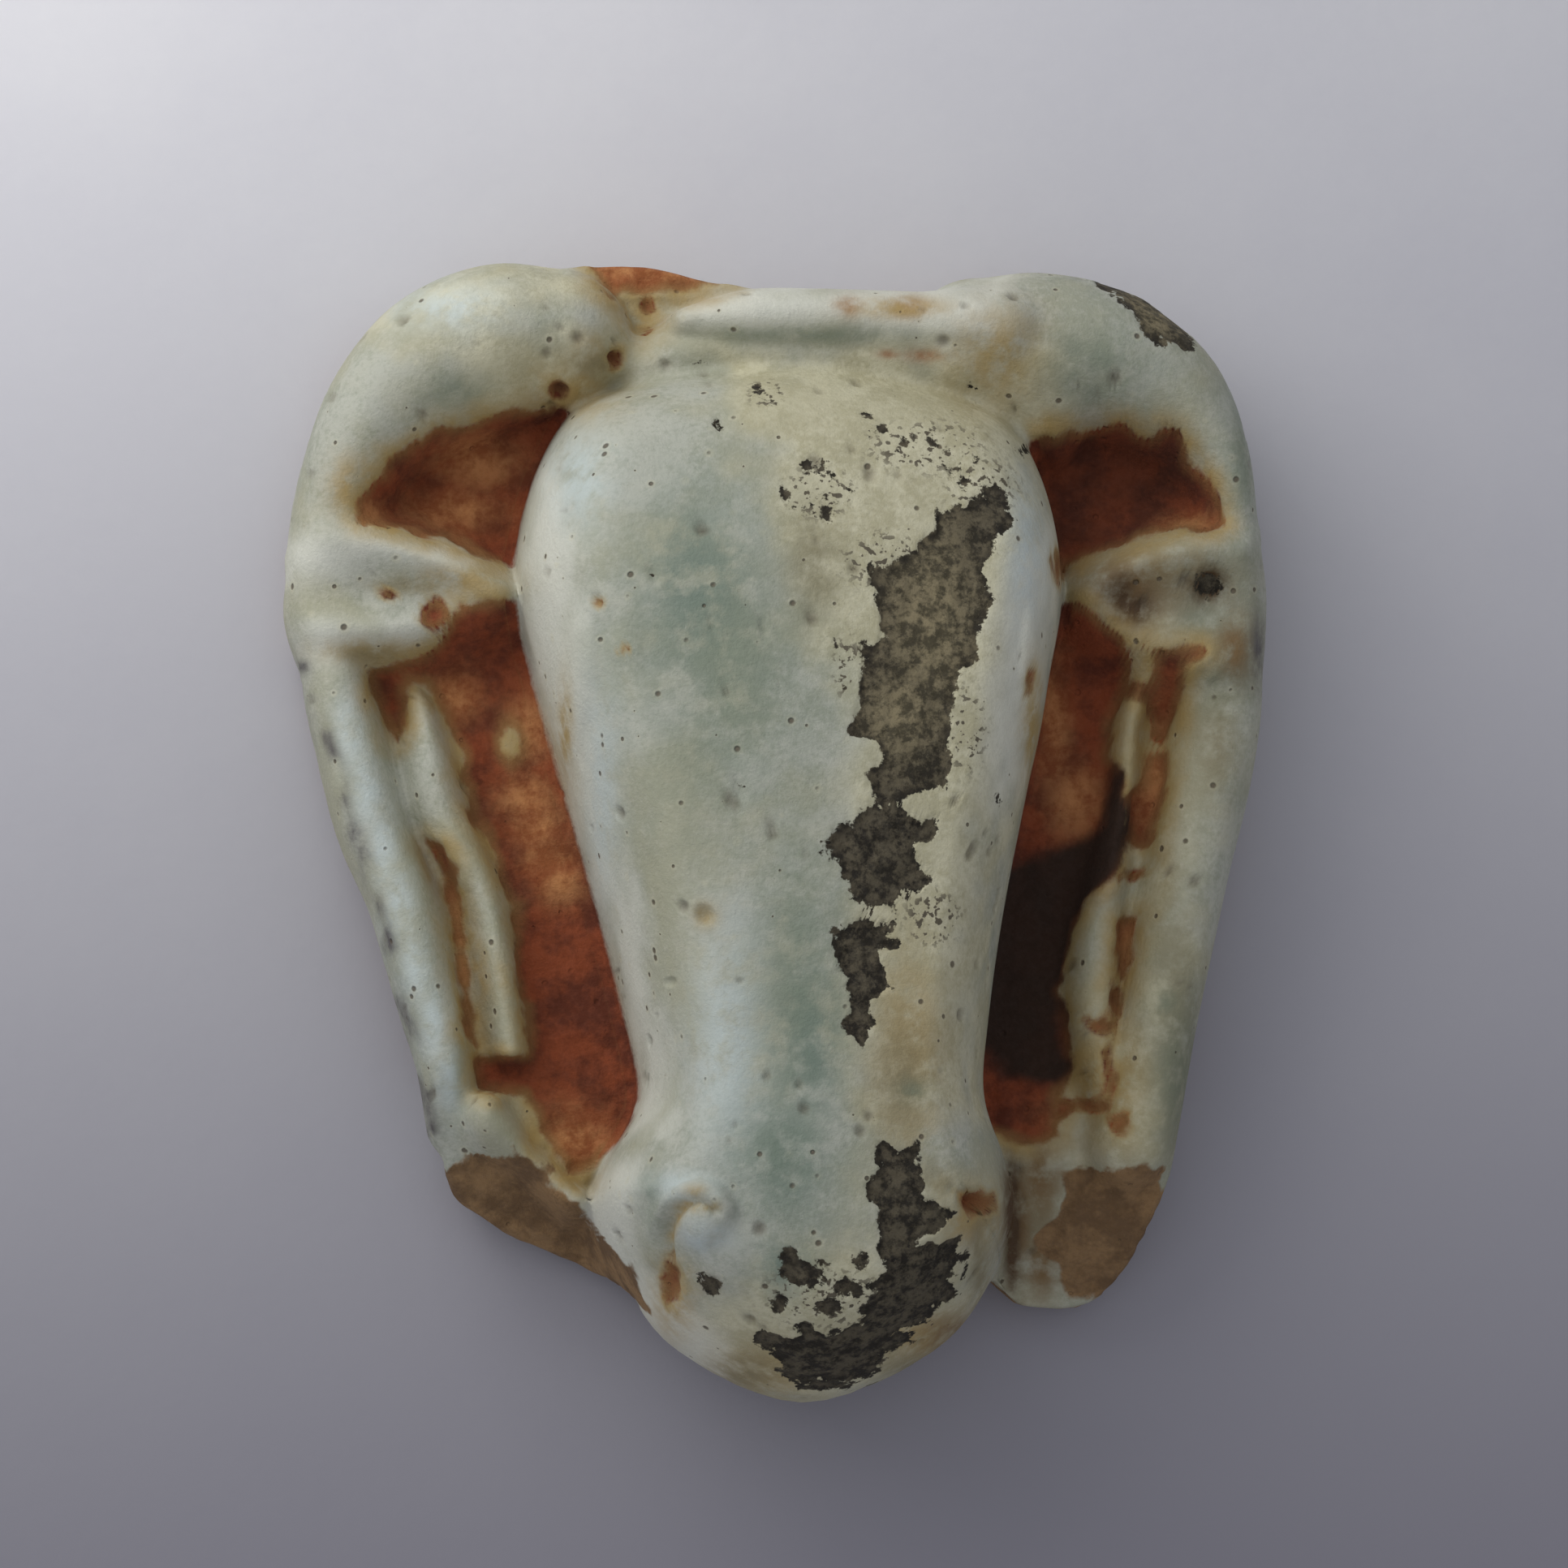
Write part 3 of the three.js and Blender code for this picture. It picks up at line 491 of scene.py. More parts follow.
def curve_through(rows, closed=False):
    """A smooth line through rows of numbers, as short straight steps."""
    rows = np.array(rows, float)
    if closed:
        rows = np.vstack([rows[-1:], rows, rows[:2]])
    else:
        rows = np.vstack([2 * rows[0] - rows[1], rows, 2 * rows[-1] - rows[-2]])
    t = np.linspace(0, 1, SPAN_STEPS, endpoint=False)[:, None]
    spans = []
    for a, b, c, d in zip(rows[:-3], rows[1:-2], rows[2:-1], rows[3:]):
        bend = (2 * a - 5 * b + 4 * c - d) * t**2 + (3 * b - 3 * c + d - a) * t**3
        spans.append(0.5 * (2 * b + (c - a) * t + bend))
    return np.vstack([*spans, rows[-2:-1]])


def nearest(line, x, y):
    """Distance to a line, and the line's row of numbers at the nearest place."""
    best = np.full(x.shape, np.inf)
    row = np.zeros(x.shape + (line.shape[1],))
    for a, b in zip(line[:-1], line[1:]):
        dx, dy = b[0] - a[0], b[1] - a[1]
        along = np.clip(((x - a[0]) * dx + (y - a[1]) * dy) / (dx * dx + dy * dy), 0, 1)
        distance = np.hypot(x - a[0] - along * dx, y - a[1] - along * dy)
        closer = distance < best
        best[closer] = distance[closer]
        row[closer] = a + (b - a) * along[closer, None]
    return best, row


def signed_distance(line, x, y):
    """Distance to a closed line, negative inside it."""
    inside = np.zeros(x.shape, bool)
    for a, b in zip(line[:-1], line[1:]):
        if a[1] == b[1]:
            continue
        crosses = (a[1] > y) != (b[1] > y)
        inside ^= crosses & (x < (b[0] - a[0]) * (y - a[1]) / (b[1] - a[1]) + a[0])
    distance, _ = nearest(line, x, y)
    return np.where(inside, -distance, distance)


def value_at(table, at, column=1):
    """Value at each place of a table of stations that run down the head."""
    return np.interp(-at, -table[:, 0], table[:, column])


left_side = [(lean - half, along) for along, half, lean in HEAD]
right_side = [(lean + half, along) for along, half, lean in HEAD]
head_stations = [CROWN_END, *left_side, MUZZLE_END, *reversed(right_side)]
head_line = curve_through([place(station) for station in head_stations], closed=True)
slab_line = curve_through([place(station) for station in SLAB], closed=True)
head_table = curve_through(HEAD)
face_profile = curve_through(FACE_PROFILE)
wall_width = curve_through(WALL_WIDTH)
ridge_lines, whole_lines = [], []
for stations, rise, fullness in RIDGES:
    rows = [(x * WIDTH, y * LENGTH, half * WIDTH, rise * share) for x, y, half, share in stations]
    blend = SOFT_BLEND if stations in SOFT_RIDGES else BLEND
    lines = whole_lines if stations in WHOLE_RIDGES else ridge_lines
    lines.append((curve_through(rows), fullness, blend))


def ridge_form(line, fullness, x, y):
    distance, row = nearest(line, x, y)
    half, rise = row[..., 2], row[..., 3]
    dome = np.sqrt(np.clip(1 - (distance / half) ** fullness, 0, 1))
    outside = distance - half
    return FLOOR_HEIGHT + rise * dome - OUTER_FALL * np.maximum(outside, 0), outside


def ear_form(ear, x, y):
    inner, outer, half_share, side = ear
    inner, outer = place(inner), place(outer)
    length = np.hypot(*(outer - inner))
    axis = (outer - inner) / length
    along = ((x - inner[0]) * axis[0] + (y - inner[1]) * axis[1]) / length
    across = ((y - inner[1]) * axis[0] - (x - inner[0]) * axis[1]) * side
    reach = np.clip(along, 0, 1)
    swell = np.sin(0.5 * np.pi * np.clip(reach / EAR_WIDEST, 0, 1)) ** EAR_SWELL
    half = half_share * LENGTH * (EAR_ROOT + (1 - EAR_ROOT) * swell)
    share = np.abs(across) / half
    end = 1 - EAR_END_ROUND * np.minimum(share, 1) ** EAR_END_POWER
    outside = np.maximum(np.abs(across) - half, np.maximum(-along, along - end) * length)
    drop = EAR_ROOT_DROP * (1 - reach) ** 2 + EAR_END_DROP * reach**4
    tilt = EAR_TILT * np.clip(across / half, -1, 1)
    bowl_along = np.clip(reach / EAR_BOWL_ROOT, 0, 1) * np.clip((1 - reach) / EAR_BOWL_END, 0, 1)
    bowl = EAR_HOLLOW * bowl_along * np.clip(1 - (share / EAR_BOWL) ** 2, 0, 1)
    rim = EAR_RIM_DROP * np.clip(1 + outside / EAR_RIM_ROUND, 0, 1) ** 2
    crest = FLOOR_HEIGHT + EAR_RISE * (1 - drop) + tilt
    return crest - bowl - rim - EAR_FALL * np.maximum(outside, 0), outside


def eye_rise(x, y):
    rise = 0
    for station, lean in EYES:
        eye = place(station)
        along = (y - eye[1]) / (EYE_LENGTH / 2)
        across = (x - eye[0] - lean * (y - eye[1])) / (EYE_WIDTH / 2)
        lid = np.clip(1 - along * along, 0, 1)
        dome = np.clip(1 - across * across / np.maximum(lid, 1e-6), 0, 1)
        rise = rise + EYE_RISE * dome * lid
    return rise


def nostril_rise(x, y):
    rise = 0
    for station, height in NOSTRILS:
        ball = place(station)
        share = np.hypot(x - ball[0], y - ball[1]) / NOSTRIL_RADIUS
        rise = rise + height * np.clip(1 - share * share, 0, 1)
    return rise


def ground_height(x, y):
    """The ground rises under the muzzle to carry the chin."""
    along = np.clip((CHIN_START - y / LENGTH) / CHIN_RUN, 0, 1)
    across = np.sqrt(np.clip(1 - np.abs(x / WIDTH - HEAD[-1][2]) / CHIN_HALF, 0, 1))
    return FLOOR_HEIGHT + CHIN_RISE * along * across


def head_form(x, y, ground):
    along = y / LENGTH
    outside = signed_distance(head_line, x, y)
    side = np.clip((x / WIDTH - value_at(head_table, along, 2)) / value_at(head_table, along, 1), -1, 1)
    top = FLOOR_HEIGHT + FACE_RISE * (value_at(face_profile, along) - FACE_CROWN * side * side)
    inward = np.clip(-outside / (value_at(wall_width, along) * WIDTH), 0, 1)
    dome = np.sqrt(1 - (1 - inward) ** 2)
    carved = eye_rise(x, y) + nostril_rise(x, y)
    return ground + (top - ground) * dome + carved - OUTER_FALL * np.maximum(outside, 0), outside


def break_height(corner, x, y):
    start, end, height, slope = corner
    start, end = place(start), place(end)
    length = np.hypot(*(end - start))
    past = ((x - start[0]) * (end[1] - start[1]) - (y - start[1]) * (end[0] - start[0])) / length
    return FLOOR_HEIGHT + height - slope * past


def joined(one, other, blend):
    """Two forms as one, each given as its height and the distance to its outline."""
    return smooth_max(one[0], other[0], blend), smooth_min(one[1], other[1])


def front(x, y):
    """Height of the front at each place, and the distance to the whole outline."""
    ground = ground_height(x, y)
    outside = signed_distance(slab_line, x, y)
    form = ground - OUTER_FALL * np.maximum(outside, 0), outside
    for line, fullness, blend in ridge_lines:
        form = joined(form, ridge_form(line, fullness, x, y), blend)
    for ear in EARS:
        form = joined(form, ear_form(ear, x, y), EAR_BLEND)
    for corner in BREAKS:
        form = smooth_min(form[0], break_height(corner, x, y)), form[1]
    for line, fullness, blend in whole_lines:
        form = joined(form, ridge_form(line, fullness, x, y), blend)
    crown = smooth_step(*CROWN_SPAN, y / LENGTH)
    return joined(form, head_form(x, y, ground), BLEND + (CROWN_BLEND - BLEND) * crown)


centre = place(CENTRE)


def reach_of(distance_at, angles):
    """How far the outline lies from the centre along each ray, walking in from outside."""
    cos, sin = np.cos(angles), np.sin(angles)
    reach = np.full(angles.shape, LENGTH)
    for _ in range(WALK_STEPS):
        reach -= WALK_SHARE * distance_at(centre[0] + reach * cos, centre[1] + reach * sin)
    return reach


def ray_angles():
    """Ray directions at even steps along the outline."""
    angles = np.linspace(0, 2 * np.pi, OUTLINE_STEPS + 1)
    reach = reach_of(lambda x, y: front(x, y)[1], angles)
    x, y = reach * np.cos(angles), reach * np.sin(angles)
    run = np.concatenate([[0], np.cumsum(np.hypot(np.diff(x), np.diff(y)))])
    return np.interp(run[-1] * (np.arange(RAYS) + 0.5) / RAYS, run, angles)


def amulet_surface():
    """Points of the closed surface, ring by ring, and its faces, with each point's place on the wall."""
    angles = ray_angles()
    outline = reach_of(lambda x, y: front(x, y)[1], angles)
    head_edge = reach_of(lambda x, y: signed_distance(head_line, x, y), angles)
    split = smooth_min(head_edge, outline - OVERHANG, OVERHANG_BLEND)
    rings = []
    for ring in range(1, HEAD_RINGS + 1):
        share = ring / HEAD_RINGS
        reach = split * (0.5 * share + 0.5 * math.sin(0.5 * math.pi * share))
        stride = 4 if share < COARSE_UP_TO[0] else 2 if share < COARSE_UP_TO[1] else 1
        rings.append((reach, stride, 0.0))
    for ring in range(1, SIDE_RINGS + 1):
        rings.append((split + (outline - split) * ring / SIDE_RINGS, 1, 0.0))
    for ring in range(1, EDGE_RINGS + 1):
        rings.append((outline, 1, ring / EDGE_RINGS))
    for ring in range(1, BACK_RINGS):
        rings.append((outline * (1 - ring / BACK_RINGS), 1, 2.0))

    points, turns, starts, strides = [], [], [1], []
    for reach, stride, turn in rings:
        cos, sin = np.cos(angles[::stride]), np.sin(angles[::stride])
        reach = reach[::stride]
        points.append(np.stack([centre[0] + reach * cos, centre[1] + reach * sin], 1))
        turns.append(np.full(len(reach), turn))
        starts.append(starts[-1] + len(reach))
        strides.append(stride)
    plan = np.vstack([centre[None], *points, centre[None]])
    turn = np.concatenate([[0.0], *turns, [2.0]])
    height, _ = front(plan[:, 0], plan[:, 1])

    # The wall: a quarter of an ellipse from the rim down to the back
    muzzle = np.clip((ground_height(plan[:, 0], plan[:, 1]) - FLOOR_HEIGHT) / CHIN_RISE, 0, 1)
    inset = EDGE_ROUND + (CHIN_ROUND - EDGE_ROUND) * muzzle
    away = plan - centre
    away /= np.maximum(np.hypot(away[:, 0], away[:, 1]), 1e-9)[:, None]
    angle = 0.5 * np.pi * np.clip(turn, 0, 1)
    on_wall = (turn > 0) & (turn <= 1)
    plan = plan - away * (inset * (1 - np.cos(angle)) * on_wall)[:, None]
    height = np.where(turn > 1, 0, height * (1 - np.sin(angle)))
    surface = np.column_stack([plan, height])
    return surface, ring_faces(starts, strides, len(surface) - 1), turn


def ring_faces(starts, strides, last):
    faces = []

    def at(ring, ray):
        count = RAYS // strides[ring]
        return starts[ring] + ray % count

    inner = len(strides) - 1
    faces += [(0, at(0, ray), at(0, ray + 1)) for ray in range(RAYS // strides[0])]
    for ring in range(inner):
        if strides[ring] == strides[ring + 1]:
            for ray in range(RAYS // strides[ring]):
                faces.append((at(ring, ray), at(ring + 1, ray), at(ring + 1, ray + 1), at(ring, ray + 1)))
        else:
            for ray in range(RAYS // strides[ring]):
                a, b = at(ring, ray), at(ring, ray + 1)
                c, d, e = (at(ring + 1, 2 * ray + step) for step in range(3))
                faces += [(a, c, d), (a, d, b), (b, d, e)]
    faces += [(at(inner, ray), last, at(inner, ray + 1)) for ray in range(RAYS)]
    return faces


class Lumps:
    """Smooth random lumps in space, the same on every run."""

    SIDE = 32

    def __init__(self, seed):
        self.lattice = np.random.default_rng(seed).uniform(-1, 1, (self.SIDE,) * 3)

    def __call__(self, points, size, octaves=1):
        total, share = 0, 1.0
        for octave in range(octaves):
            total = total + share * self.layer(points / (size / 2**octave) + 7.3 * octave)
            share *= 0.5
        return total

    def layer(self, places):
        cell = np.floor(places).astype(int)
        inside = places - cell
        inside = inside * inside * (3 - 2 * inside)
        value = 0
        for corner in np.ndindex(2, 2, 2):
            index = (cell + corner) % self.SIDE
            weight = np.prod(np.where(corner, inside, 1 - inside), axis=1)
            value = value + weight * self.lattice[index[:, 0], index[:, 1], index[:, 2]]
        return value


# The camera's axes: back towards the camera, up in the picture, right in the picture
camera_back = np.array([-math.tan(LEAN_TO_LEFT), -math.tan(LEAN_TO_MUZZLE), 1.0])
camera_back /= np.linalg.norm(camera_back)
camera_up = np.array([0, 1.0, 0]) - camera_back * camera_back[1]
camera_up /= np.linalg.norm(camera_up)
camera_right = np.cross(camera_up, camera_back)
camera_place = CAMERA_TARGET + camera_back * CAMERA_DISTANCE


def in_photo(points):
    """Pixel of the photograph that each point falls on."""
    seen = points - camera_place
    depth = -(seen @ camera_back)
    across = PHOTO_MIDDLE + FOCAL_PIXELS * (seen @ camera_right) / depth
    down = PHOTO_MIDDLE - FOCAL_PIXELS * (seen @ camera_up) / depth
    return across, down


def depth_in_patches(patches, across, down):
    """How deep each place lies inside the nearest patch, in millimetres, negative outside."""
    depth = np.full(across.shape, FAR_OUTSIDE)
    for patch in patches:
        line = np.array([*patch, patch[0]], float)
        depth = np.maximum(depth, -signed_distance(line, across, down) / PIXELS_PER_MM)
    return depth


def depth_in_spots(spots, across, down):
    depth = np.full(across.shape, FAR_OUTSIDE)
    for x, y, half_x, half_y in spots:
        share = np.hypot((across - x) / half_x, (down - y) / half_y)
        depth = np.maximum(depth, (1 - share) * min(half_x, half_y) / PIXELS_PER_MM)
    return depth


def soft_spots(spots, across, down):
    amount = np.zeros(across.shape)
    for x, y, half_x, half_y in spots:
        share = np.hypot((across - x) / half_x, (down - y) / half_y)
        amount = np.maximum(amount, np.exp(-share * share))
    return amount


def surface_fields(points, turn, upward):
    """The named fields of wear, glaze colour, painted shade and painted light over the surface, and the
    relief that goes with them.
    """
    across, down = in_photo(points)
    off_head = signed_distance(head_line, points[:, 0], points[:, 1])
    steady = np.where(turn > 0, 1.0, smooth_step(*RELIEF_SLOPES, upward))
    coarse, ragged, fine = (Lumps(seed) for seed in WEAR_SEEDS)
    face = smooth_step(*RELIEF_HEIGHTS, points[:, 2]) * (turn <= 1)
    wander = WANDER[0] * coarse(points, WANDER[1], 2)
    rag = RAGGED[0] * ragged(points, RAGGED[1], 2) + FRAYED[0] * fine(points, FRAYED[1])

    ground = depth_in_patches(BARE_GROUND, across, down)
    ground = np.minimum(ground, -depth_in_spots(GLAZE_ISLANDS, across, down)) + 0.3 * wander + 0.25 * rag
    spots = depth_in_spots(BARE_SPOTS, across, down) + 0.4 * rag
    bare = np.maximum(np.minimum(ground, off_head + 0.04), spots)
    stained = smooth_step(-0.70, 0.0, ground) * smooth_step(0.0, 0.25, off_head)
    stained = np.maximum(stained, smooth_step(-0.16, 0.0, spots))
    flaked = np.maximum(depth_in_patches(FLAKED, across, down) + 0.7 * rag,
                        depth_in_spots(FLAKED_SPOTS, across, down) + 0.3 * rag - FLAKED_SPOTS_SHRUNK)
    broken = depth_in_patches(BROKEN_BODY, across, down) + wander + 0.5 * rag

    # Below the glaze's lower edge and on the back the body shows in patches
    lower = GLAZE_FOOT - points[:, 2] + 0.8 * coarse(points, 2.6, 2) + rag
    lower = np.where(turn > 0, lower, -1.0)
    lower = np.where(turn > 1, 0.35 * coarse(points, 5.0, 3) - 0.05 + 0.4 * rag, lower)
    seen = turn < SEEN_WALL
    fields = {
        "bare": np.where(seen, bare, UNWORN),
        "flaked": np.where(seen, flaked, UNWORN),
        "broken": np.maximum(np.where(turn < SEEN_BREAK, broken, UNWORN), lower),
        "soot_and_painted_shade": np.maximum(smooth_step(-0.25, 0.25, depth_in_patches(SOOT_AND_RECESS_SHADE, across, down) + wander),
                           0.5 * soft_spots(DARKENED, across, down)),
        "orange": soft_spots(ORANGE_GROUND, across, down),
        "cream_glaze_and_painted_light": smooth_step(-0.9, 0.9, depth_in_patches(CREAM_GLAZE_AND_PAINTED_LIGHT, across, down) + 3 * wander),
        "white_glaze_and_highlight": smooth_step(-0.5, 0.6, depth_in_patches(WHITE_GLAZE_AND_HIGHLIGHTS, across, down) + wander),
        "brownish": soft_spots(BROWN_FLAKES, across, down),
        "specks": soft_spots(SPECKLED, across, down),
        "halo": np.where(seen, stained, 0.0),
    }
    high = 1 - smooth_step(0.2, 0.7, turn)
    for overlay, (_, _, spots) in STAINS_AND_PAINTED_LIGHT.items():
        fields[overlay] = soft_spots(spots, across, down) * high
    # Grime and painted shade along the outer edges, broken by gaps
    for line in EDGE_GRIME_AND_SHADE_LINES:
        distance, _ = nearest(np.array(line, float), across, down)
        gaps = np.clip(0.55 + 1.3 * ragged(points, 0.9, 2), 0, 1)
        edge_darkening = np.exp(-((distance / EDGE_GRIME_AND_SHADE_WIDTH) ** 2)) * gaps
        fields["grime_and_edge_shade"] = np.maximum(fields["grime_and_edge_shade"], edge_darkening * high)
    relief = -FLAKED_DEPTH * smooth_step(-0.03, 0.12, fields["flaked"]) * (1 + 0.8 * fine(points, 0.25))
    relief -= BARE_DEPTH * smooth_step(-0.05, 0.2, fields["bare"]) * (1 + 0.8 * ragged(points, 0.5, 2))
    relief += GLAZE_EDGE_RISE * np.exp(-((fields["bare"] + GLAZE_EDGE_MIDDLE) / GLAZE_EDGE_HALF) ** 2)
    rough = BREAK_LUMPS * ragged(points, 0.7, 2) + BREAK_GRAINS * fine(points, 0.3)
    relief += smooth_step(0, 0.2, fields["broken"]) * rough
    relief += GLAZE_SWELLS * coarse(points, 3.0, 2) + GLAZE_RIPPLES * ragged(points, 0.6, 2)
    relief *= np.where(turn > 0, WALL_RELIEF, 1.0)
    relief = np.where(turn > 1, 0.0, relief)
    for x, y, radius in LARGE_PITS:
        share = np.hypot(across - x, down - y) / (radius * LARGE_PIT_SPREAD)
        depth = LARGE_PIT_DEPTH * (radius / LARGE_PIT_RADIUS) ** 0.5
        relief -= seen * depth * np.clip(1 - share**2, 0, 1)
    relief += nostril_grooves(across, down) * seen
    return fields, relief * (RELIEF_AT_FLOOR + (1 - RELIEF_AT_FLOOR) * face) * steady


# Curved lines about the nostrils: rise or fall, half width in pixels, line
NOSTRIL_CURVES = [
    (0.13, 9.0, [(804, 1552), (803, 1518), (818, 1484), (846, 1463), (878, 1466), (898, 1488)]),
    (-0.24, 7.0, [(824, 1548), (823, 1514), (838, 1490), (860, 1481), (882, 1492)]),
    (-0.10, 8.0, [(1206, 1540), (1214, 1505), (1202, 1474), (1176, 1464)]),
]
NOSTRIL_HOLES = [(826, 1582, 13, 24), (1204, 1484, 14, 12)]
NOSTRIL_BALLS = [(864, 1518, 24, 20)]
NOSTRIL_DEPTH = 0.16
NOSTRIL_SWELL = 0.16
# No pits are strewn here
UNPITTED = [(850, 1510, 50, 50), (1190, 1480, 40, 40)]


def nostril_grooves(across, down):
    """Lips and grooves about the nostrils' balls, and the openings at their lower ends."""
    relief = np.zeros(across.shape)
    for rise, half, points in NOSTRIL_CURVES:
        distance, _ = nearest(curve_through(points), across, down)
        relief += rise * np.exp(-((distance / half) ** 2))
    relief += NOSTRIL_SWELL * soft_spots(NOSTRIL_BALLS, across, down)
    return relief - NOSTRIL_DEPTH * soft_spots(NOSTRIL_HOLES, across, down)


def vertex_normals(mesh):
    normals = np.zeros(len(mesh.vertices) * 3)
    mesh.vertex_normals.foreach_get("vector", normals)
    return normals.reshape(-1, 3)


def set_points(mesh, points):
    mesh.vertices.foreach_set("co", (points * MM).ravel())
    mesh.update()


def add_field(mesh, name, values):
    attribute = mesh.attributes.new(name, "FLOAT", "POINT")
    attribute.data.foreach_set("value", np.clip(values, -1, 1).astype(np.float32))


def fit_to_solid(points):
    """Lay the finished surface's outline exactly on the solid's box."""
    low, high = points.min(0), points.max(0)
    scale = (high_corner - low_corner)[:2] / (high - low)[:2]
    fitted = points.copy()
    fitted[:, :2] = low_corner[:2] + (points[:, :2] - low[:2]) * scale
    return fitted


def eased(mesh, points, free):
    """Points drawn towards the middle of their neighbours, where they are free to move."""
    ends = np.zeros(len(mesh.edges) * 2, int)
    mesh.edges.foreach_get("vertices", ends)
    a, b = ends.reshape(-1, 2).T
    count = np.bincount(a, minlength=len(points)) + np.bincount(b, minlength=len(points))
    for _ in range(EASING_ROUNDS):
        middle = np.stack([
            np.bincount(a, points[b, axis], len(points)) + np.bincount(b, points[a, axis], len(points))
            for axis in range(3)
        ], 1) / count[:, None]
        points = np.where(free[:, None], points + EASING * (middle - points), points)
    return points


def make_body():
    surface, faces, turn = amulet_surface()
    surface = fit_to_solid(surface)
    mesh = bpy.data.meshes.new("glazed_head")
    mesh.from_pydata(surface * MM, [], faces)
    mesh.update()
    surface = eased(mesh, surface, turn == 0)
    set_points(mesh, surface)
    normals = vertex_normals(mesh)
    fields, relief = surface_fields(surface, turn, normals[:, 2])
    surface = surface + normals * relief[:, None]
    surface[:, 2] = np.maximum(surface[:, 2], 0)
    set_points(mesh, surface)
    for name, values in fields.items():
        add_field(mesh, name, values)
    glazed = (fields["bare"] < 0) & (fields["flaked"] < 0) & (fields["broken"] < 0) & (turn < PITTED_WALL)
    glazed &= soft_spots(UNPITTED, *in_photo(surface)) < 0.3
    add_field(mesh, "glazed", glazed.astype(float))
    mesh.shade_smooth()
    body = bpy.data.objects.new("glazed_head", mesh)
    bpy.context.scene.collection.objects.link(body)
    return body


class Nodes:
    """Short calls for building one node tree, laid out left to right as its nodes are made."""

    def __init__(self, tree):
        self.tree = tree
        self.count = 0

    def add(self, kind, **settings):
        node = self.tree.nodes.new(kind)
        node.location = (180 * (self.count // 4), -220 * (self.count % 4))
        self.count += 1
        for name, value in settings.items():
            setattr(node, name, value)
        return node

    def feed(self, socket, value):
        if isinstance(value, bpy.types.NodeSocket):
            self.tree.links.new(value, socket)
        elif hasattr(socket, "default_value"):
            socket.default_value = value

    def math(self, operation, a, b=0.0, clamp=False):
        node = self.add("ShaderNodeMath", operation=operation, use_clamp=clamp)
        self.feed(node.inputs[0], a)
        self.feed(node.inputs[1], b)
        return node.outputs[0]

    def times(self, a, b):
        return self.math("MULTIPLY", a, b)

    def field(self, name):
        return self.add("ShaderNodeAttribute", attribute_name=name).outputs["Fac"]

    def noise(self, places, scale, detail=3.0, roughness=0.6):
        node = self.add("ShaderNodeTexNoise")
        self.feed(node.inputs["Vector"], places)
        self.feed(node.inputs["Scale"], scale)
        self.feed(node.inputs["Detail"], detail)
        self.feed(node.inputs["Roughness"], roughness)
        return node.outputs["Fac"]

    def spread(self, value, low, high, out_low=0.0, out_high=1.0):
        node = self.add("ShaderNodeMapRange", interpolation_type="SMOOTHSTEP")
        for socket, given in zip(node.inputs, (value, low, high, out_low, out_high)):
            self.feed(socket, given)
        return node.outputs[0]

    def blend(self, share, under, over):
        node = self.add("ShaderNodeMix", data_type="RGBA")
        self.feed(node.inputs[0], share)
        self.feed(node.inputs[6], under)
        self.feed(node.inputs[7], over)
        return node.outputs[2]

    def group(self, tree, **inputs):
        node = self.add("ShaderNodeGroup", node_tree=tree)
        for name, value in inputs.items():
            self.feed(node.inputs[name.replace("_", " ").capitalize()], value)
        return node

    def places_in_mm(self):
        coordinates = self.add("ShaderNodeTexCoord").outputs["Object"]
        mapping = self.add("ShaderNodeMapping")
        mapping.inputs["Scale"].default_value = (1 / MM,) * 3
        self.feed(mapping.inputs["Vector"], coordinates)
        return mapping.outputs[0]


def new_group(name, inputs, outputs):
    """A shader group with named sockets: inputs of name, kind and default, outputs of name and kind."""
    tree = bpy.data.node_groups.new(name, "ShaderNodeTree")
    for label, kind, default in inputs:
        socket = tree.interface.new_socket(name=label, in_out="INPUT", socket_type=kind)
        if default is not None:
            socket.default_value = default
    for label, kind in outputs:
        tree.interface.new_socket(name=label, in_out="OUTPUT", socket_type=kind)
    nodes = Nodes(tree)
    return tree, nodes, nodes.add("NodeGroupInput").outputs, nodes.add("NodeGroupOutput").inputs


def ragged_edge_group():
    """A mask with a crumbled edge from a field of depth in millimetres."""
    tree, nodes, given, out = new_group(
        "Crumbled edge",
        [("Places", "NodeSocketVector", None), ("Depth", "NodeSocketFloat", 0.0),
         ("Crumble", "NodeSocketFloat", 0.1), ("Grain", "NodeSocketFloat", 9.0),
         ("Softness", "NodeSocketFloat", 0.03)],
        [("Mask", "NodeSocketFloat")],
    )
    noise = nodes.noise(given["Places"], given["Grain"], 3.0, 0.65)
    shifted = nodes.math("SUBTRACT", noise, 0.5)
    shifted = nodes.times(shifted, given["Crumble"])
    depth = nodes.math("ADD", given["Depth"], shifted)
    low = nodes.times(given["Softness"], -1.0)
    nodes.feed(out["Mask"], nodes.spread(depth, low, given["Softness"]))
    return tree


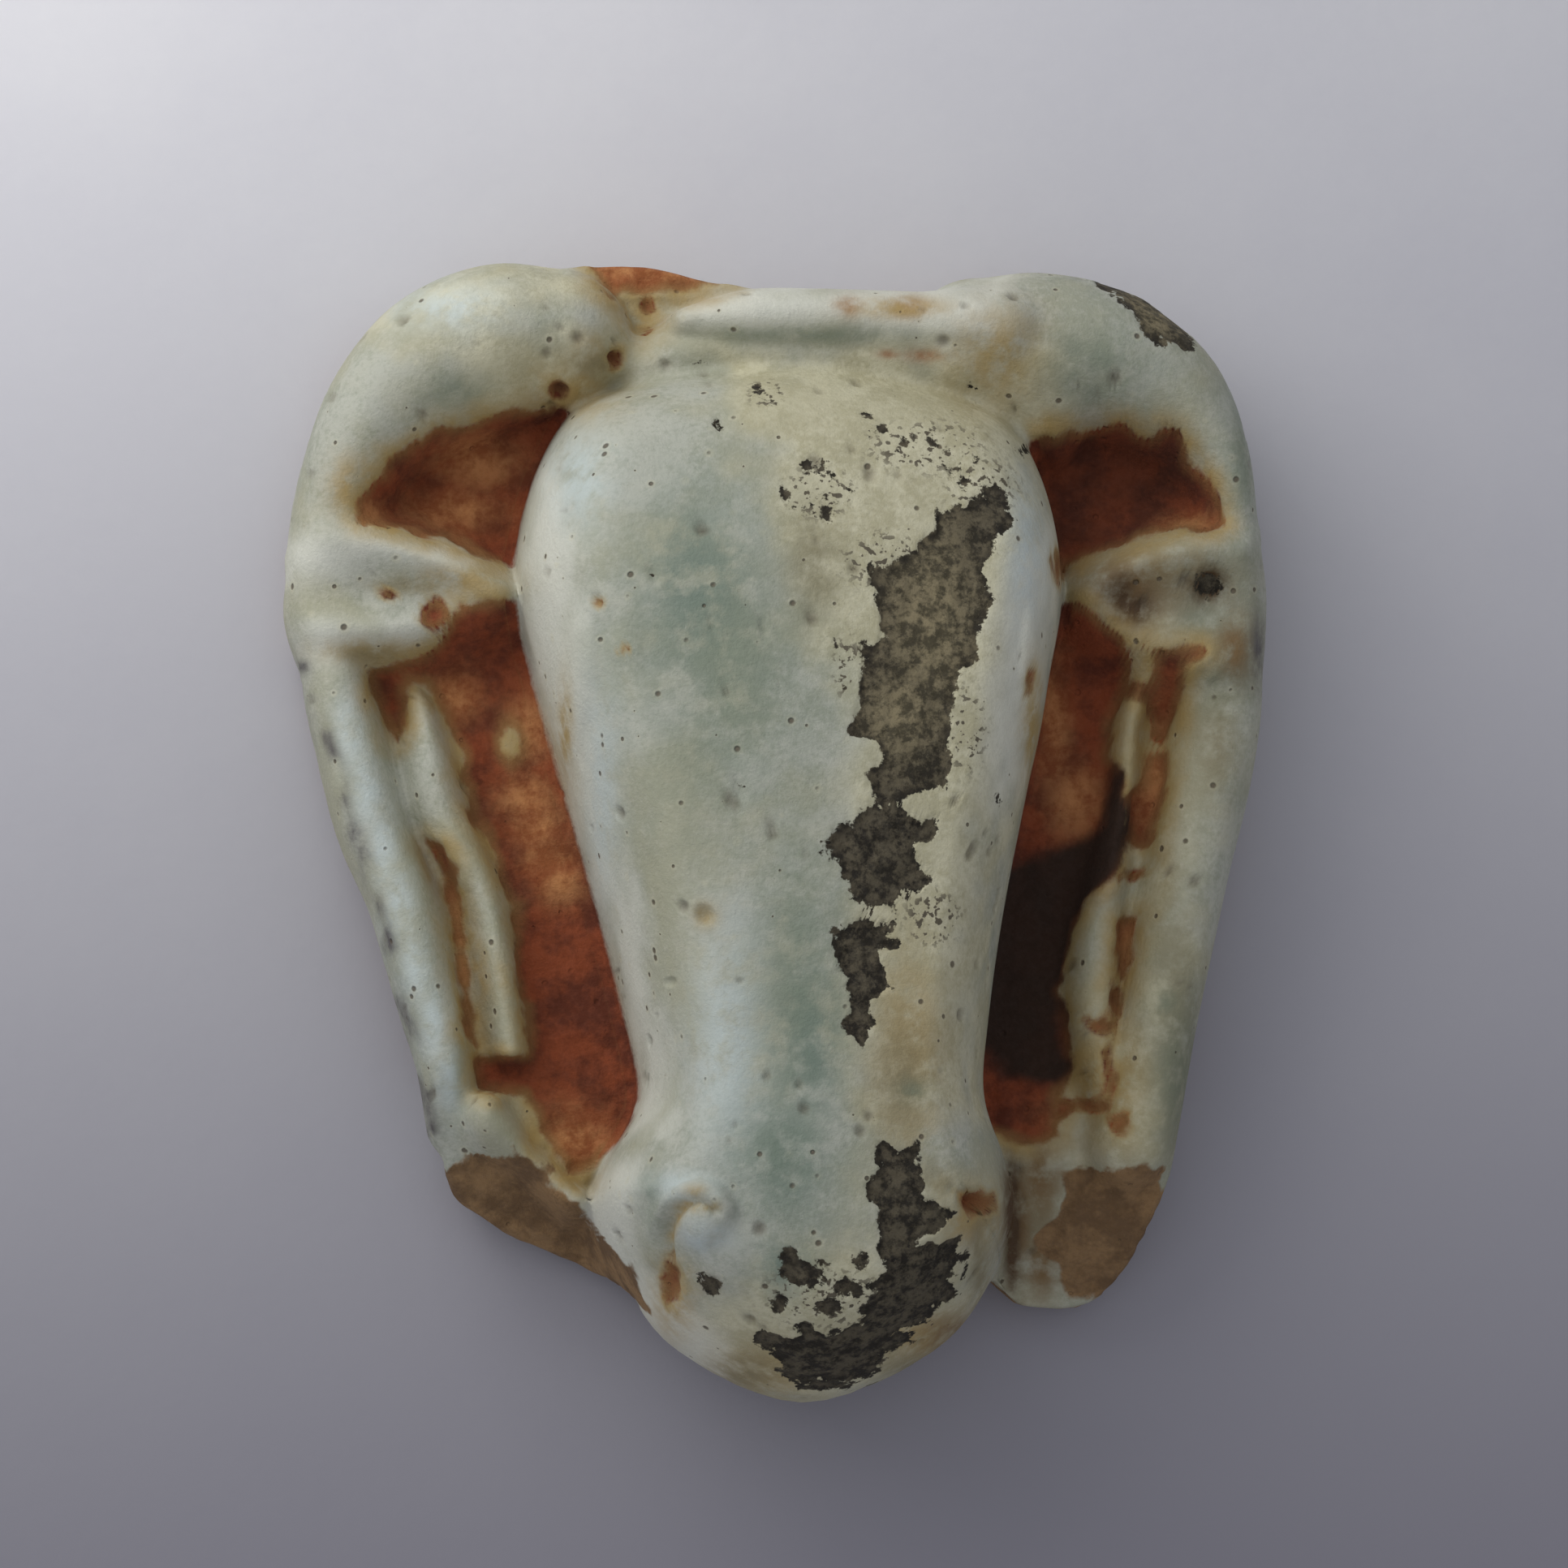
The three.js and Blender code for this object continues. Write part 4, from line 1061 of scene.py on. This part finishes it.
def mottle_group():
    """Two colours mixed in soft clouds with fine grains over them."""
    tree, nodes, given, out = new_group(
        "Mottle",
        [("Places", "NodeSocketVector", None), ("Light", "NodeSocketColor", None),
         ("Dark", "NodeSocketColor", None), ("Cloud", "NodeSocketFloat", 0.8),
         ("Grain", "NodeSocketFloat", 8.0), ("Graininess", "NodeSocketFloat", 0.4)],
        [("Color", "NodeSocketColor")],
    )
    cloud = nodes.noise(given["Places"], given["Cloud"], 4.0, 0.6)
    grain = nodes.noise(given["Places"], given["Grain"], 4.0, 0.7)
    cloud = nodes.spread(cloud, 0.36, 0.64)
    grain = nodes.times(nodes.math("SUBTRACT", grain, 0.5), given["Graininess"])
    value = nodes.math("ADD", cloud, nodes.times(grain, 4.0), clamp=True)
    nodes.feed(out["Color"], nodes.blend(value, given["Light"], given["Dark"]))
    return tree


def pinhole_group():
    """Small round bubbles in the glaze: a mask of their holes and one of the paler ring about them."""
    tree, nodes, given, out = new_group(
        "Pinholes",
        [("Places", "NodeSocketVector", None), ("Frequency", "NodeSocketFloat", 1.5),
         ("Radius", "NodeSocketFloat", 0.14)],
        [("Hole", "NodeSocketFloat"), ("Ring", "NodeSocketFloat")],
    )
    cells = nodes.add("ShaderNodeTexVoronoi", feature="F1")
    nodes.feed(cells.inputs["Vector"], given["Places"])
    nodes.feed(cells.inputs["Scale"], given["Frequency"])
    parts = nodes.add("ShaderNodeSeparateColor")
    nodes.feed(parts.inputs[0], cells.outputs["Color"])
    radius = nodes.times(given["Radius"], nodes.spread(parts.outputs[0], 0.2, 1.0, 0.3, 1.0))
    share = nodes.math("DIVIDE", cells.outputs["Distance"], radius)
    hole = nodes.spread(share, 0.45, 1.0, 1.0, 0.0)
    ring = nodes.spread(share, 1.0, 2.0, 1.0, 0.0)
    nodes.feed(out["Hole"], hole)
    nodes.feed(out["Ring"], nodes.math("SUBTRACT", ring, hole, clamp=True))
    return tree


def new_material(name):
    material = bpy.data.materials.new(name)
    material.use_nodes = True
    nodes = Nodes(material.node_tree)
    shader = material.node_tree.nodes["Principled BSDF"]
    return material, nodes, shader


def rgb(red, green_and_painted_shade, blue):
    return (red, green_and_painted_shade, blue, 1.0)


# Mottled finishes: light, dark, frequency of the clouds, frequency and strength of the grains.
# Colours are linear light, and frequencies count per millimetre
CELADON = (rgb(0.455, 0.462, 0.385), rgb(0.33, 0.347, 0.27), 0.45, 6.0, 0.8)
CREAM = (rgb(0.60, 0.57, 0.40), rgb(0.45, 0.42, 0.27), 0.7, 5.0, 0.7)
DEEP_RED = (rgb(0.27, 0.062, 0.021), rgb(0.125, 0.030, 0.013), 0.9, 5.0, 0.3)
RUST = (rgb(0.56, 0.25, 0.092), rgb(0.32, 0.105, 0.034), 1.2, 5.0, 0.45)
FLAKE = (rgb(0.105, 0.088, 0.056), rgb(0.021, 0.017, 0.011), 2.2, 6.0, 0.9)
FLAKE_BROWN = (rgb(0.27, 0.225, 0.130), rgb(0.085, 0.072, 0.041), 2.2, 6.0, 0.9)
BODY_BROWN = (rgb(0.29, 0.175, 0.080), rgb(0.155, 0.090, 0.042), 0.8, 6.0, 0.4)
PAPER = (rgb(0.70, 0.695, 0.715), rgb(0.66, 0.655, 0.685), 0.05, 2.0, 0.2)

# Plain colours, as linear light
WHITISH_AND_HIGHLIGHT = rgb(0.72, 0.72, 0.62)
PIT_BROWN = rgb(0.10, 0.075, 0.045)
OCHRE = rgb(*STAINS_AND_PAINTED_LIGHT["ochre"][0])
SOOT_AND_SHADE_BLACK = rgb(0.030, 0.018, 0.011)
MARGIN_BROWN = rgb(0.30, 0.17, 0.06)
PAPER_IN_PAINTED_SHADE = rgb(0.222, 0.213, 0.248)
PAPER_FAR = rgb(0.50, 0.50, 0.53)

# Masks with crumbled edges: how far the edge strays in millimetres, frequency of the grains, softness
CRUMBLE = {"bare": (0.12, 5.0, 0.09), "broken": (0.16, 5.0, 0.08), "flaked": (0.55, 4.5, 0.03)}

# Fine bumps: strength, and height in millimetres
GLAZE_BUMP = (0.8, 0.06)
PAPER_BUMP = (0.25, 0.05)


def mottled(nodes, mottle, places, finish):
    light, dark, cloud, grain, graininess = finish
    made = nodes.group(mottle, places=places, light=light, dark=dark,
                       cloud=cloud, grain=grain, graininess=graininess)
    return made.outputs["Color"]


def add_bump(nodes, shader, height, strength, distance):
    bump = nodes.add("ShaderNodeBump")
    bump.inputs["Strength"].default_value = strength
    bump.inputs["Distance"].default_value = distance * MM
    nodes.feed(bump.inputs["Height"], height)
    nodes.feed(shader.inputs["Normal"], bump.outputs["Normal"])


def worn_glaze(mottle, crumbled, pinholes):
    """The whole piece's finish: glaze, stains, painted shade and painted light, bare ground, flaked patches
    and broken body.
    """
    material, nodes, shader = new_material("worn_glaze")
    places = nodes.places_in_mm()

    def coloured(finish):
        return mottled(nodes, mottle, places, finish)

    def mask(field):
        crumble, grain, softness = CRUMBLE[field]
        made = nodes.group(crumbled, places=places, depth=nodes.field(field),
                           crumble=crumble, grain=grain, softness=softness)
        return made.outputs["Mask"]

    # The glaze with its stains, its painted shade and painted light, and its bubbles
    glaze = coloured(CELADON)
    # Cream glaze; in the valleys by the horns this is painted light
    glaze = nodes.blend(nodes.field("cream_glaze_and_painted_light"), glaze, coloured(CREAM))
    # Whitish glaze and painted highlights
    glaze = nodes.blend(nodes.times(nodes.field("white_glaze_and_highlight"), 0.75), glaze, WHITISH_AND_HIGHLIGHT)
    warmth = nodes.spread(nodes.noise(places, 0.22, 3.0), 0.42, 0.66, 0.0, 0.5)
    warmth = nodes.times(warmth, nodes.math("SUBTRACT", 1.0, nodes.field("white_glaze_and_highlight"), clamp=True))
    glaze = nodes.blend(warmth, glaze, CREAM[1])
    small = nodes.group(pinholes, places=places, frequency=1.5, radius=0.16)
    glaze = nodes.blend(nodes.times(small.outputs["Ring"], 0.30), glaze, CREAM[0])
    patchy = nodes.spread(nodes.noise(places, 1.6, 4.0), 0.30, 0.60, 0.35, 1.0)
    for overlay, (tint, strength, _) in STAINS_AND_PAINTED_LIGHT.items():
        amount = nodes.times(nodes.times(nodes.field(overlay), patchy), strength)
        glaze = nodes.blend(amount, glaze, rgb(*tint))
    cloudy = nodes.spread(nodes.noise(places, 1.1, 3.0), 0.30, 0.70, 0.45, 1.0)
    halo = nodes.times(nodes.field("halo"), cloudy)
    glaze = nodes.blend(halo, glaze, OCHRE)
    pit = nodes.math("MAXIMUM", nodes.field("pit"), small.outputs["Hole"])
    glaze = nodes.blend(nodes.times(pit, 0.85), glaze, PIT_BROWN)
    specks = nodes.spread(nodes.noise(places, 5.5, 2.0, 0.5), 0.56, 0.62)
    specks = nodes.times(specks, nodes.spread(nodes.field("specks"), 0.15, 0.8))
    glaze = nodes.blend(specks, glaze, FLAKE[0])

    # The bare ground, with a lighter margin along the glaze
    ground = nodes.blend(nodes.field("orange"), coloured(DEEP_RED), coloured(RUST))
    # Soot and painted shade blacken the ground in the right recess
    ground = nodes.blend(nodes.times(nodes.field("soot_and_painted_shade"), 0.95), ground, SOOT_AND_SHADE_BLACK)
    margin = nodes.spread(nodes.field("halo"), 0.96, 1.0)
    margin = nodes.times(margin, nodes.spread(nodes.field("bare"), 0.0, 0.40, 0.75, 0.0))
    margin = nodes.times(margin, nodes.math("SUBTRACT", 1.0, nodes.field("soot_and_painted_shade"), clamp=True))
    ground = nodes.blend(margin, ground, MARGIN_BROWN)
    bare = mask("bare")
    colour = nodes.blend(bare, glaze, ground)

    # The broken body
    broken = mask("broken")
    colour = nodes.blend(broken, colour, coloured(BODY_BROWN))

    # The flaked patches, with darker pieces of rim
    flake = nodes.blend(nodes.field("brownish"), coloured(FLAKE), coloured(FLAKE_BROWN))
    flaked = mask("flaked")
    rim = nodes.math("SUBTRACT", flaked, nodes.spread(nodes.field("flaked"), 0.04, 0.30), clamp=True)
    rim = nodes.times(rim, nodes.spread(nodes.noise(places, 2.0, 2.0), 0.40, 0.60))
    flake = nodes.blend(nodes.times(rim, 0.8), flake, FLAKE[1])
    colour = nodes.blend(flaked, colour, flake)
    nodes.feed(shader.inputs["Base Color"], colour)

    # Worn places are duller and rougher
    worn = nodes.math("MAXIMUM", nodes.math("MAXIMUM", bare, broken), flaked)
    skin = nodes.noise(places, 5.0, 4.0, 0.6)
    gloss = nodes.spread(skin, 0.3, 0.7, 0.52, 0.70)
    rough = nodes.math("ADD", gloss, nodes.times(worn, 0.32), clamp=True)
    nodes.feed(shader.inputs["Roughness"], rough)
    shader.inputs["Specular IOR Level"].default_value = 0.4

    grains = nodes.noise(places, 9.0, 5.0, 0.7)
    height = nodes.times(grains, nodes.spread(worn, 0.0, 1.0, 0.60, 1.2))
    height = nodes.math("ADD", height, nodes.times(skin, 0.5))
    height = nodes.math("SUBTRACT", height, nodes.times(small.outputs["Hole"], 1.2))
    height = nodes.math("SUBTRACT", height, nodes.times(flaked, 0.5))
    add_bump(nodes, shader, height, *GLAZE_BUMP)
    return material


# Painted falloff of the light on the paper: its colour darkens slowly from the window's side: how fast
# across, along and up, per millimetre
PAPER_PAINTED_FALLOFF = (-0.004, 0.050, 0.0)

# Past the picture the sheet turns one even tone: from and to, in millimetres from the middle
PAPER_EVEN = (30.0, 70.0)


def paper(mottle):
    material, nodes, shader = new_material("pale_paper")
    places = nodes.places_in_mm()
    along = nodes.add("ShaderNodeVectorMath", operation="DOT_PRODUCT")
    nodes.feed(along.inputs[0], places)
    along.inputs[1].default_value = PAPER_PAINTED_FALLOFF
    # Painted shade: the sheet's colour fades to a dim tone away from the window
    share = nodes.spread(along.outputs["Value"], -1.6, 1.6)
    sheet = nodes.blend(share, PAPER_IN_PAINTED_SHADE, mottled(nodes, mottle, places, PAPER))
    away = nodes.add("ShaderNodeVectorMath", operation="LENGTH")
    nodes.feed(away.inputs[0], places)
    far = nodes.spread(away.outputs["Value"], *PAPER_EVEN)
    nodes.feed(shader.inputs["Base Color"], nodes.blend(far, sheet, PAPER_FAR))
    shader.inputs["Roughness"].default_value = 0.9
    shader.inputs["Specular IOR Level"].default_value = 0.15
    add_bump(nodes, shader, nodes.noise(places, 1.2, 5.0, 0.6), *PAPER_BUMP)
    return material


def pit_tree():
    """Geometry nodes: strew burst bubbles over the glaze and press each one in as a small pit."""
    tree = bpy.data.node_groups.new("Bubble pits", "GeometryNodeTree")
    inputs = [
        ("Geometry", "NodeSocketGeometry"), ("Pits per square metre", "NodeSocketFloat"),
        ("Pit radius", "NodeSocketFloat"), ("Pit depth", "NodeSocketFloat"),
        ("Seed", "NodeSocketInt"), ("Material", "NodeSocketMaterial"),
    ]
    for label, kind in inputs:
        tree.interface.new_socket(name=label, in_out="INPUT", socket_type=kind)
    tree.interface.new_socket(name="Geometry", in_out="OUTPUT", socket_type="NodeSocketGeometry")
    nodes = Nodes(tree)
    given = nodes.add("NodeGroupInput").outputs
    out = nodes.add("NodeGroupOutput").inputs

    glazed = nodes.add("GeometryNodeInputNamedAttribute", data_type="FLOAT")
    glazed.inputs["Name"].default_value = "glazed"
    strewn = nodes.add("GeometryNodeDistributePointsOnFaces", distribute_method="RANDOM")
    nodes.feed(strewn.inputs["Mesh"], given["Geometry"])
    nodes.feed(strewn.inputs["Density"],
               nodes.times(given["Pits per square metre"], glazed.outputs["Attribute"]))
    nodes.feed(strewn.inputs["Seed"], given["Seed"])

    size = nodes.add("FunctionNodeRandomValue", data_type="FLOAT")
    size.inputs[2].default_value, size.inputs[3].default_value = PIT_SIZES
    nodes.feed(size.inputs["Seed"], given["Seed"])
    nearest_pit = nodes.add("GeometryNodeSampleNearest", domain="POINT")
    nodes.feed(nearest_pit.inputs["Geometry"], strewn.outputs["Points"])
    middle = nodes.add("GeometryNodeSampleIndex", data_type="FLOAT_VECTOR", domain="POINT")
    own_size = nodes.add("GeometryNodeSampleIndex", data_type="FLOAT", domain="POINT")
    position = nodes.add("GeometryNodeInputPosition").outputs[0]
    for sampler, value in ((middle, position), (own_size, size.outputs[1])):
        nodes.feed(sampler.inputs["Geometry"], strewn.outputs["Points"])
        nodes.feed(sampler.inputs["Value"], value)
        nodes.feed(sampler.inputs["Index"], nearest_pit.outputs["Index"])

    gap = nodes.add("ShaderNodeVectorMath", operation="DISTANCE")
    nodes.feed(gap.inputs[0], position)
    nodes.feed(gap.inputs[1], middle.outputs["Value"])
    radius = nodes.times(given["Pit radius"], own_size.outputs["Value"])
    share = nodes.math("DIVIDE", gap.outputs["Value"], radius)
    hollow = nodes.spread(share, 0.25, 1.0, 1.0, 0.0)
    mark = nodes.times(hollow, own_size.outputs["Value"])
    depth = nodes.times(mark, given["Pit depth"])
    normal = nodes.add("GeometryNodeInputNormal").outputs[0]
    inward = nodes.add("ShaderNodeVectorMath", operation="SCALE")
    nodes.feed(inward.inputs[0], normal)
    nodes.feed(inward.inputs["Scale"], nodes.times(depth, -1.0))
    pressed = nodes.add("GeometryNodeSetPosition")
    nodes.feed(pressed.inputs["Geometry"], given["Geometry"])
    nodes.feed(pressed.inputs["Offset"], inward.outputs[0])

    kept = nodes.add("GeometryNodeStoreNamedAttribute", data_type="FLOAT", domain="POINT")
    kept.inputs["Name"].default_value = "pit"
    nodes.feed(kept.inputs["Geometry"], pressed.outputs[0])
    nodes.feed(kept.inputs["Value"], mark)
    real = nodes.add("GeometryNodeRealizeInstances")
    nodes.feed(real.inputs[0], kept.outputs[0])
    dressed = nodes.add("GeometryNodeSetMaterial")
    nodes.feed(dressed.inputs["Geometry"], real.outputs[0])
    nodes.feed(dressed.inputs["Material"], given["Material"])
    nodes.feed(out["Geometry"], dressed.outputs[0])
    return tree


# Burst bubbles strewn over the glaze: how many, and the largest one's radius and depth in millimetres
PITS_PER_SQUARE_METRE = 0.20e6
PIT_RADIUS = 0.26
PIT_DEPTH = 0.12
# The smallest and the largest one, as shares of these
PIT_SIZES = (0.35, 1.0)
PIT_SEED = 4


def press_pits(body, material):
    """Run the pit tree on the body and keep its result as the body's plain mesh."""
    tree = pit_tree()
    modifier = body.modifiers.new("Bubble pits", "NODES")
    modifier.node_group = tree
    values = {
        "Pits per square metre": PITS_PER_SQUARE_METRE,
        "Pit radius": PIT_RADIUS * MM,
        "Pit depth": PIT_DEPTH * MM,
        "Seed": PIT_SEED,
        "Material": material,
    }
    for item in tree.interface.items_tree:
        if item.in_out == "INPUT" and item.name in values:
            modifier[item.identifier] = values[item.name]
    graph = bpy.context.evaluated_depsgraph_get()
    pitted = bpy.data.meshes.new_from_object(body.evaluated_get(graph), preserve_all_data_layers=True,
                                             depsgraph=graph)
    pitted.name = "glazed_head"
    body.modifiers.clear()
    body.data = pitted
    body.data.shade_smooth()


# Width of the camera's sensor, in millimetres
SENSOR_WIDTH = 36.0


def add_camera():
    data = bpy.data.cameras.new("photo_camera")
    data.sensor_fit = "HORIZONTAL"
    data.sensor_width = SENSOR_WIDTH
    data.lens = SENSOR_WIDTH * FOCAL_PIXELS / PHOTO_SIDE
    data.clip_start = 1 * MM
    data.clip_end = 10.0
    camera = bpy.data.objects.new("photo_camera", data)
    turn = Matrix([camera_right, camera_up, camera_back]).transposed()
    camera.matrix_world = Matrix.Translation(Vector(camera_place * MM)) @ turn.to_4x4()
    bpy.context.scene.collection.objects.link(camera)
    bpy.context.scene.camera = camera


# Lights: name, place, aim and size in millimetres, watts, colour
LIGHTS = [
    ("window", (-52, 52, 62), (0, 0, 3), (100, 60), 0.030, (1.0, 0.985, 0.94)),
    ("window_edge", (-31, 38, 24), (-8, 10, 0), (30, 20), 0.0045, (1.0, 0.99, 0.97)),
]


def add_area_light(name, place_mm, aim_mm, size_mm, watts, colour):
    data = bpy.data.lights.new(name, "AREA")
    data.shape = "RECTANGLE"
    data.size = size_mm[0] * MM
    data.size_y = size_mm[1] * MM
    data.energy = watts
    data.color = colour
    light = bpy.data.objects.new(name, data)
    turn = (Vector(aim_mm) - Vector(place_mm)).to_track_quat("-Z", "Y").to_matrix()
    light.matrix_world = Matrix.Translation(Vector(place_mm) * MM) @ turn.to_4x4()
    light.visible_camera = False
    bpy.context.scene.collection.objects.link(light)


# Half the side of the paper sheet, in millimetres
SHEET_HALF = 400


def add_floor(material):
    side = SHEET_HALF * MM
    mesh = bpy.data.meshes.new("paper_sheet")
    corners = [(-side, -side, 0), (side, -side, 0), (side, side, 0), (-side, side, 0)]
    mesh.from_pydata(corners, [], [(0, 1, 2, 3)])
    mesh.materials.append(material)
    sheet = bpy.data.objects.new("paper_sheet", mesh)
    bpy.context.scene.collection.objects.link(sheet)


# The room is brighter on the window's side: that direction, and the light away from it and towards it
ROOM_BRIGHT_SIDE = (-0.80, 0.25, 0.55)
ROOM_LIGHT = (0.33, 0.62)
ROOM_COLOUR = (0.90, 0.92, 1.0)


def add_surroundings():
    world = bpy.data.worlds.new("soft_room")
    world.use_nodes = True
    nodes = Nodes(world.node_tree)
    background = world.node_tree.nodes["Background"]
    background.inputs["Color"].default_value = rgb(*ROOM_COLOUR)
    towards = nodes.add("ShaderNodeVectorMath", operation="DOT_PRODUCT")
    nodes.feed(towards.inputs[0], nodes.add("ShaderNodeTexCoord").outputs["Generated"])
    towards.inputs[1].default_value = ROOM_BRIGHT_SIDE
    nodes.feed(background.inputs["Strength"], nodes.spread(towards.outputs["Value"], -1.0, 1.0, *ROOM_LIGHT))
    bpy.context.scene.world = world


mottle = mottle_group()
crumbled = ragged_edge_group()
glaze_finish = worn_glaze(mottle, crumbled, pinhole_group())

amulet = make_body()
press_pits(amulet, glaze_finish)
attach(amulet, "root")
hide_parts(AMULET)

add_camera()
add_floor(paper(mottle))
for light in LIGHTS:
    add_area_light(*light)
add_surroundings()
bpy.context.scene.view_settings.view_transform = "Standard"
